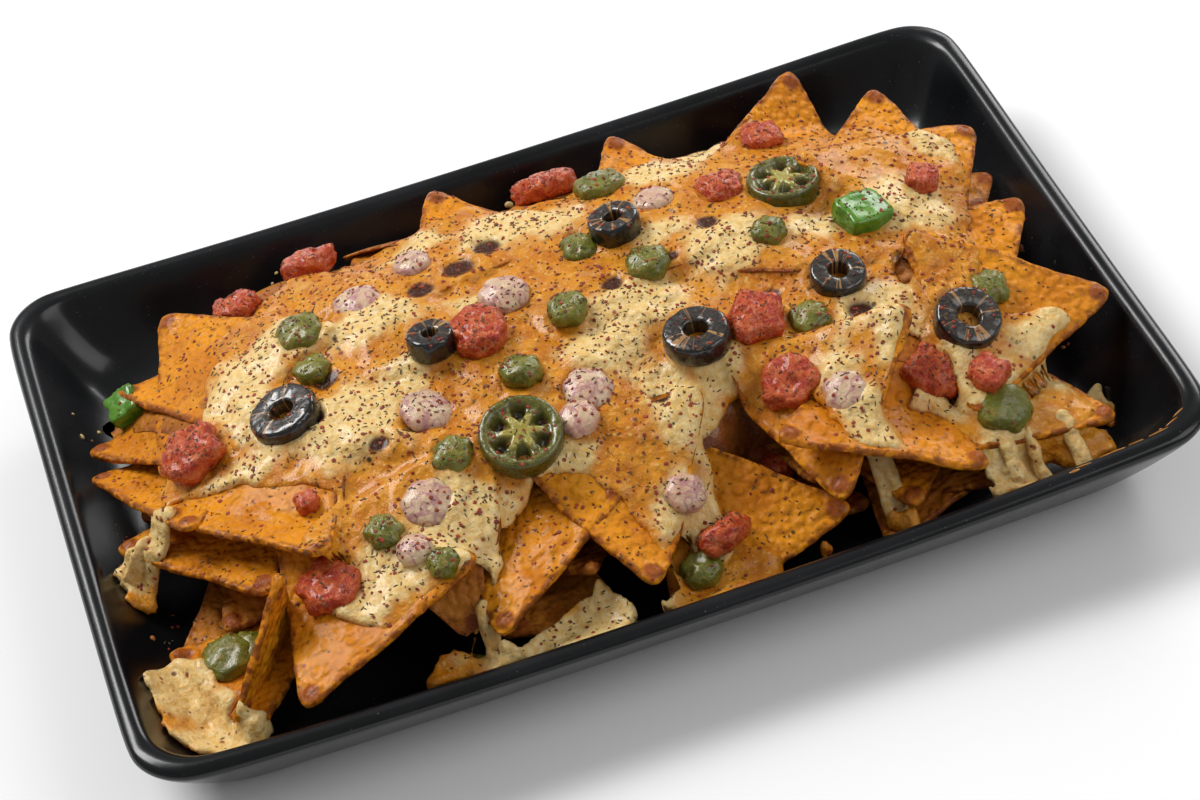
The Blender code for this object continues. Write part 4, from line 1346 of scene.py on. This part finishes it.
def build_drips(heap_tree, tray_tree, material):
    """Tongues of cheese that hang from the heap's edge down to the tray, as one piece."""
    drips = []
    for start, end, width in DRIPS:
        top = Vector((*start, max(surface_below(heap_tree, *start)[0].z / MM, 15.0) - 0.4))
        foot = Vector((*end, surface_below(tray_tree, *end)[0].z / MM + 0.4))
        fall = (top - foot).normalized()
        across = (Vector((1, 0, 0)) - fall * fall.x).normalized()
        place = Matrix.Translation((top + foot) / 2 * MM)
        turn = Matrix((across, fall.cross(across), fall)).transposed().to_4x4()
        # a ball of radius 1, drawn out along the fall and wider at both ends
        drip = bead(Matrix.Identity(4), 2.0, 2.0, 1.0, 4)
        points = coordinates(drip.data)
        flare = 0.62 + 0.55 * points[:, 2] ** 2
        points[:, 0] *= width / 2 * flare
        points[:, 1] *= 1.5
        points[:, 2] *= (top - foot).length / 2 + 1.5
        set_coordinates(drip.data, points)
        drip.data.transform(place @ turn)
        drips.append(drip)
    piece = join("cheese_drips", drips)
    ruffle(piece, 4.5, 1.6)
    ruffle(piece, 1.8, 0.5)
    keep_values(piece.data, "cream", np.full(len(piece.data.vertices), 0.62))
    piece.data.shade_smooth()
    return place_piece(piece, "cheese", material)


def build_grease_line(tray_tree, material):
    """A broken line of orange grease along the inner edge of the front rim."""
    rng = random.Random(12)
    beads = []
    x = -30.0
    while x < 122.0:
        for step in range(60):
            hit, normal = surface_below(tray_tree, x, -72.0 - 0.25 * step)
            if hit is not None and hit.z > RIM_EDGE * MM:
                length = rng.uniform(2.5, 6.0)
                place = surface_place(hit, normal, rng.uniform(-0.04, 0.04))
                beads.append(bead(place, length, rng.uniform(0.35, 0.8), 0.22))
                break
        x += rng.uniform(2.0, 7.5)
    piece = join("grease_line", beads)
    piece.data.shade_smooth()
    return place_piece(piece, "cheese", material)


# ---------------------------------------------------------------- tray
def build_tray(material):
    """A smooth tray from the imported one: its loose triangles merged and rounded."""
    tray = copy_of(NODES["tray"], "black_tray")
    tray.hide_render = False
    tray.hide_viewport = False
    for key in list(tray.keys()):
        del tray[key]
    activate(tray)
    bpy.ops.object.mode_set(mode="EDIT")
    bpy.ops.mesh.select_all(action="SELECT")
    bpy.ops.mesh.remove_doubles(threshold=0.01 * MM)
    bpy.ops.mesh.tris_convert_to_quads(
        face_threshold=math.radians(50), shape_threshold=math.radians(50))
    bpy.ops.object.mode_set(mode="OBJECT")
    apply_modifier(tray, "SUBSURF", levels=2, render_levels=2)
    recalculate(tray)
    tray.data.shade_smooth()
    return place_piece(tray, "tray_glaze", material, "tray")


# ---------------------------------------------------------------- stage
WORLD_STRENGTH = 0.27
LIGHTS = (
    # name, place, width, height, watts
    ("key", (-0.55, 0.75, 1.05), 0.7, 0.45, 17),
    ("fill", (0.85, -0.55, 0.95), 0.9, 0.9, 6),
    ("rim", (0.75, 0.85, 0.55), 0.5, 0.4, 4.5),
)
LIGHT_AIM = Vector((0, 0, 0.02))
LENS = 94.5
CAMERA_PLACE = (-0.10383, -0.54920, 0.54288)
CAMERA_AXES = (
    # to its right, up and backwards
    (0.94103, -0.31146, -0.13213), (0.30853, 0.62971, 0.71293), (-0.13885, -0.71165, 0.68867),
)


def build_floor():
    deselect()
    bpy.ops.mesh.primitive_plane_add(size=6, location=(0, 0, 0))
    floor = bpy.context.object
    floor.name = "floor"
    floor.data.materials.append(floor_material())


def build_lights():
    world = bpy.data.worlds.new("studio")
    world.use_nodes = True
    background = world.node_tree.nodes["Background"]
    background.inputs["Color"].default_value = (1, 1, 1, 1)
    background.inputs["Strength"].default_value = WORLD_STRENGTH
    bpy.context.scene.world = world
    for name, place, width, height, watts in LIGHTS:
        lamp = bpy.data.lights.new(name, "AREA")
        lamp.shape = "RECTANGLE"
        lamp.size = width
        lamp.size_y = height
        lamp.energy = watts
        holder = bpy.data.objects.new(name, lamp)
        holder.location = place
        holder.rotation_mode = "QUATERNION"
        holder.rotation_quaternion = (LIGHT_AIM - Vector(place)).to_track_quat("-Z", "Y")
        bpy.context.scene.collection.objects.link(holder)


def build_camera():
    lens = bpy.data.cameras.new("camera")
    lens.sensor_width = 36.0
    lens.lens = LENS
    lens.clip_start = 0.05
    lens.clip_end = 20.0
    camera = bpy.data.objects.new("camera", lens)
    turn = Matrix(CAMERA_AXES).transposed().to_4x4()
    camera.matrix_world = Matrix.Translation(CAMERA_PLACE) @ turn
    bpy.context.scene.collection.objects.link(camera)
    bpy.context.scene.camera = camera
    bpy.context.scene.view_settings.view_transform = "Standard"


# ---------------------------------------------------------------- putting it together
def food_materials():
    """Every finish of the food, by its kind."""
    return {
        "tortilla": tortilla_material("corn_chip", (0.74, 0.275, 0.010), (0.57, 0.175, 0.005)),
        # painted shade: a darker copy of the chip finish, for the chips inside the heap, round its
        # foot and deep in the hollows
        "inner": tortilla_material("inner_chip", (0.52, 0.19, 0.022), (0.34, 0.10, 0.010)),
        # painted shade: the heap's inside is a dark brown sheet that stands for the shade between
        # the chips
        "core": wet_material("heap_inside", (0.16, 0.035, 0.008), (0.26, 0.075, 0.012),
                             (0.35, 0.14, 0.02), 0.0, 0.03, 500.0),
        "cheese": cheese_material(),
        "olive": olive_material(),
        "pickled_chilli": chilli_material(),
        "tomato": wet_material("tomato_flesh", (0.42, 0.026, 0.003), (0.60, 0.100, 0.012),
                               (0.66, 0.20, 0.06), 0.0, 0.045, 900.0, 0.30, 1.3, 420.0),
        "onion": wet_material("onion_flesh", (0.58, 0.34, 0.23), (0.66, 0.48, 0.30),
                              (0.36, 0.12, 0.17), 0.0, 0.085, 700.0, 0.12),
        "green_pepper": wet_material("pepper_flesh", (0.105, 0.115, 0.006), (0.19, 0.175, 0.018),
                                     (0.30, 0.20, 0.04), 0.0, 0.03, 700.0, 0.22),
        "bright_pepper": wet_material("pepper_skin", (0.055, 0.17, 0.010), (0.10, 0.26, 0.018),
                                      (0.16, 0.32, 0.04), 0.0, 0.02, 500.0, 0.03, 0.25),
    }


def strew_seasoning(food, fields, rests):
    """Dried herb, chilli and pepper, thickest on the cream and the toppings."""
    _, cover, cream, _ = fields
    spread = np.where(cover > 0.5, 0.55 + 0.45 * cream, 0.30)
    for x, y, radius, _ in rests:
        spread = np.where(np.hypot(Field.x - x, Field.y - y) < radius, 0.8, spread)
    spread *= np.clip(1.5 - np.hypot(Field.x / 118, Field.y / 76) ** 6, 0.0, 1.0)
    clumps = spread * (0.6 + 0.4 * np.clip(cloud(12, 71) + 0.5, 0, 1))
    kinds = (
        # name, kind, count, density, seed, finish and its light and dark shades
        ("herb_flakes", "herb", 2600, clumps, 3,
         "dried_herb", (0.150, 0.085, 0.018), (0.050, 0.030, 0.008)),
        ("chilli_flakes", "chilli", 2400, clumps, 4,
         "dried_chilli", (0.36, 0.045, 0.010), (0.18, 0.020, 0.005)),
        ("pepper_specks", "pepper", 1500, spread, 5,
         "black_pepper", (0.030, 0.020, 0.012), (0.010, 0.008, 0.006)),
    )
    for name, kind, count, density, seed, called, light, dark in kinds:
        material = flake_material(called, light, dark)
        scatter(name, kind, count, food, density, seed, material, "cheese")


def main():
    build_floor()
    build_lights()
    build_camera()
    materials = food_materials()
    tray = build_tray(tray_material())
    blanks = [chip_blank(number, FINE_CUTS) for number in range(BLANKS)]
    light_blanks = [chip_blank(number, LIGHT_CUTS) for number in range(BLANKS)]
    chips = build_chips(blanks, materials["tortilla"])
    chips += build_inner_chips(light_blanks, blanks, materials["inner"])
    for blank in blanks + light_blanks:
        remove(blank)
    build_core(materials["core"])
    toppings, rests = build_toppings(materials)
    bare = tree_of([tray])
    fields = cheese_fields(tree_of(chips), bare, rests)
    heap = chips + [build_cheese(fields, materials["cheese"]), tray]
    heap_tree = tree_of(heap)
    drips = build_drips(heap_tree, bare, materials["cheese"])
    more = build_more_toppings(heap_tree, materials)

    food = tree_of(heap + [drips] + toppings + more)
    crumb = flake_material("corn_crumb", (0.44, 0.16, 0.025), (0.16, 0.045, 0.010))
    build_spatter("fallen_crumbs", CRUMB_AREAS, (0.7, 2.4), bare, food, 21, crumb, "tortilla")
    build_spatter("cheese_drops", DROP_AREAS, (0.8, 2.6), bare, food, 22, materials["cheese"],
                  "cheese")
    build_grease_line(bare, wet_material("grease", (0.30, 0.10, 0.010), (0.42, 0.17, 0.020),
                                         (0.42, 0.17, 0.02), 0.0, 0.03, 400.0, 0.0, 0.1))
    strew_seasoning(food, fields, rests)


main()
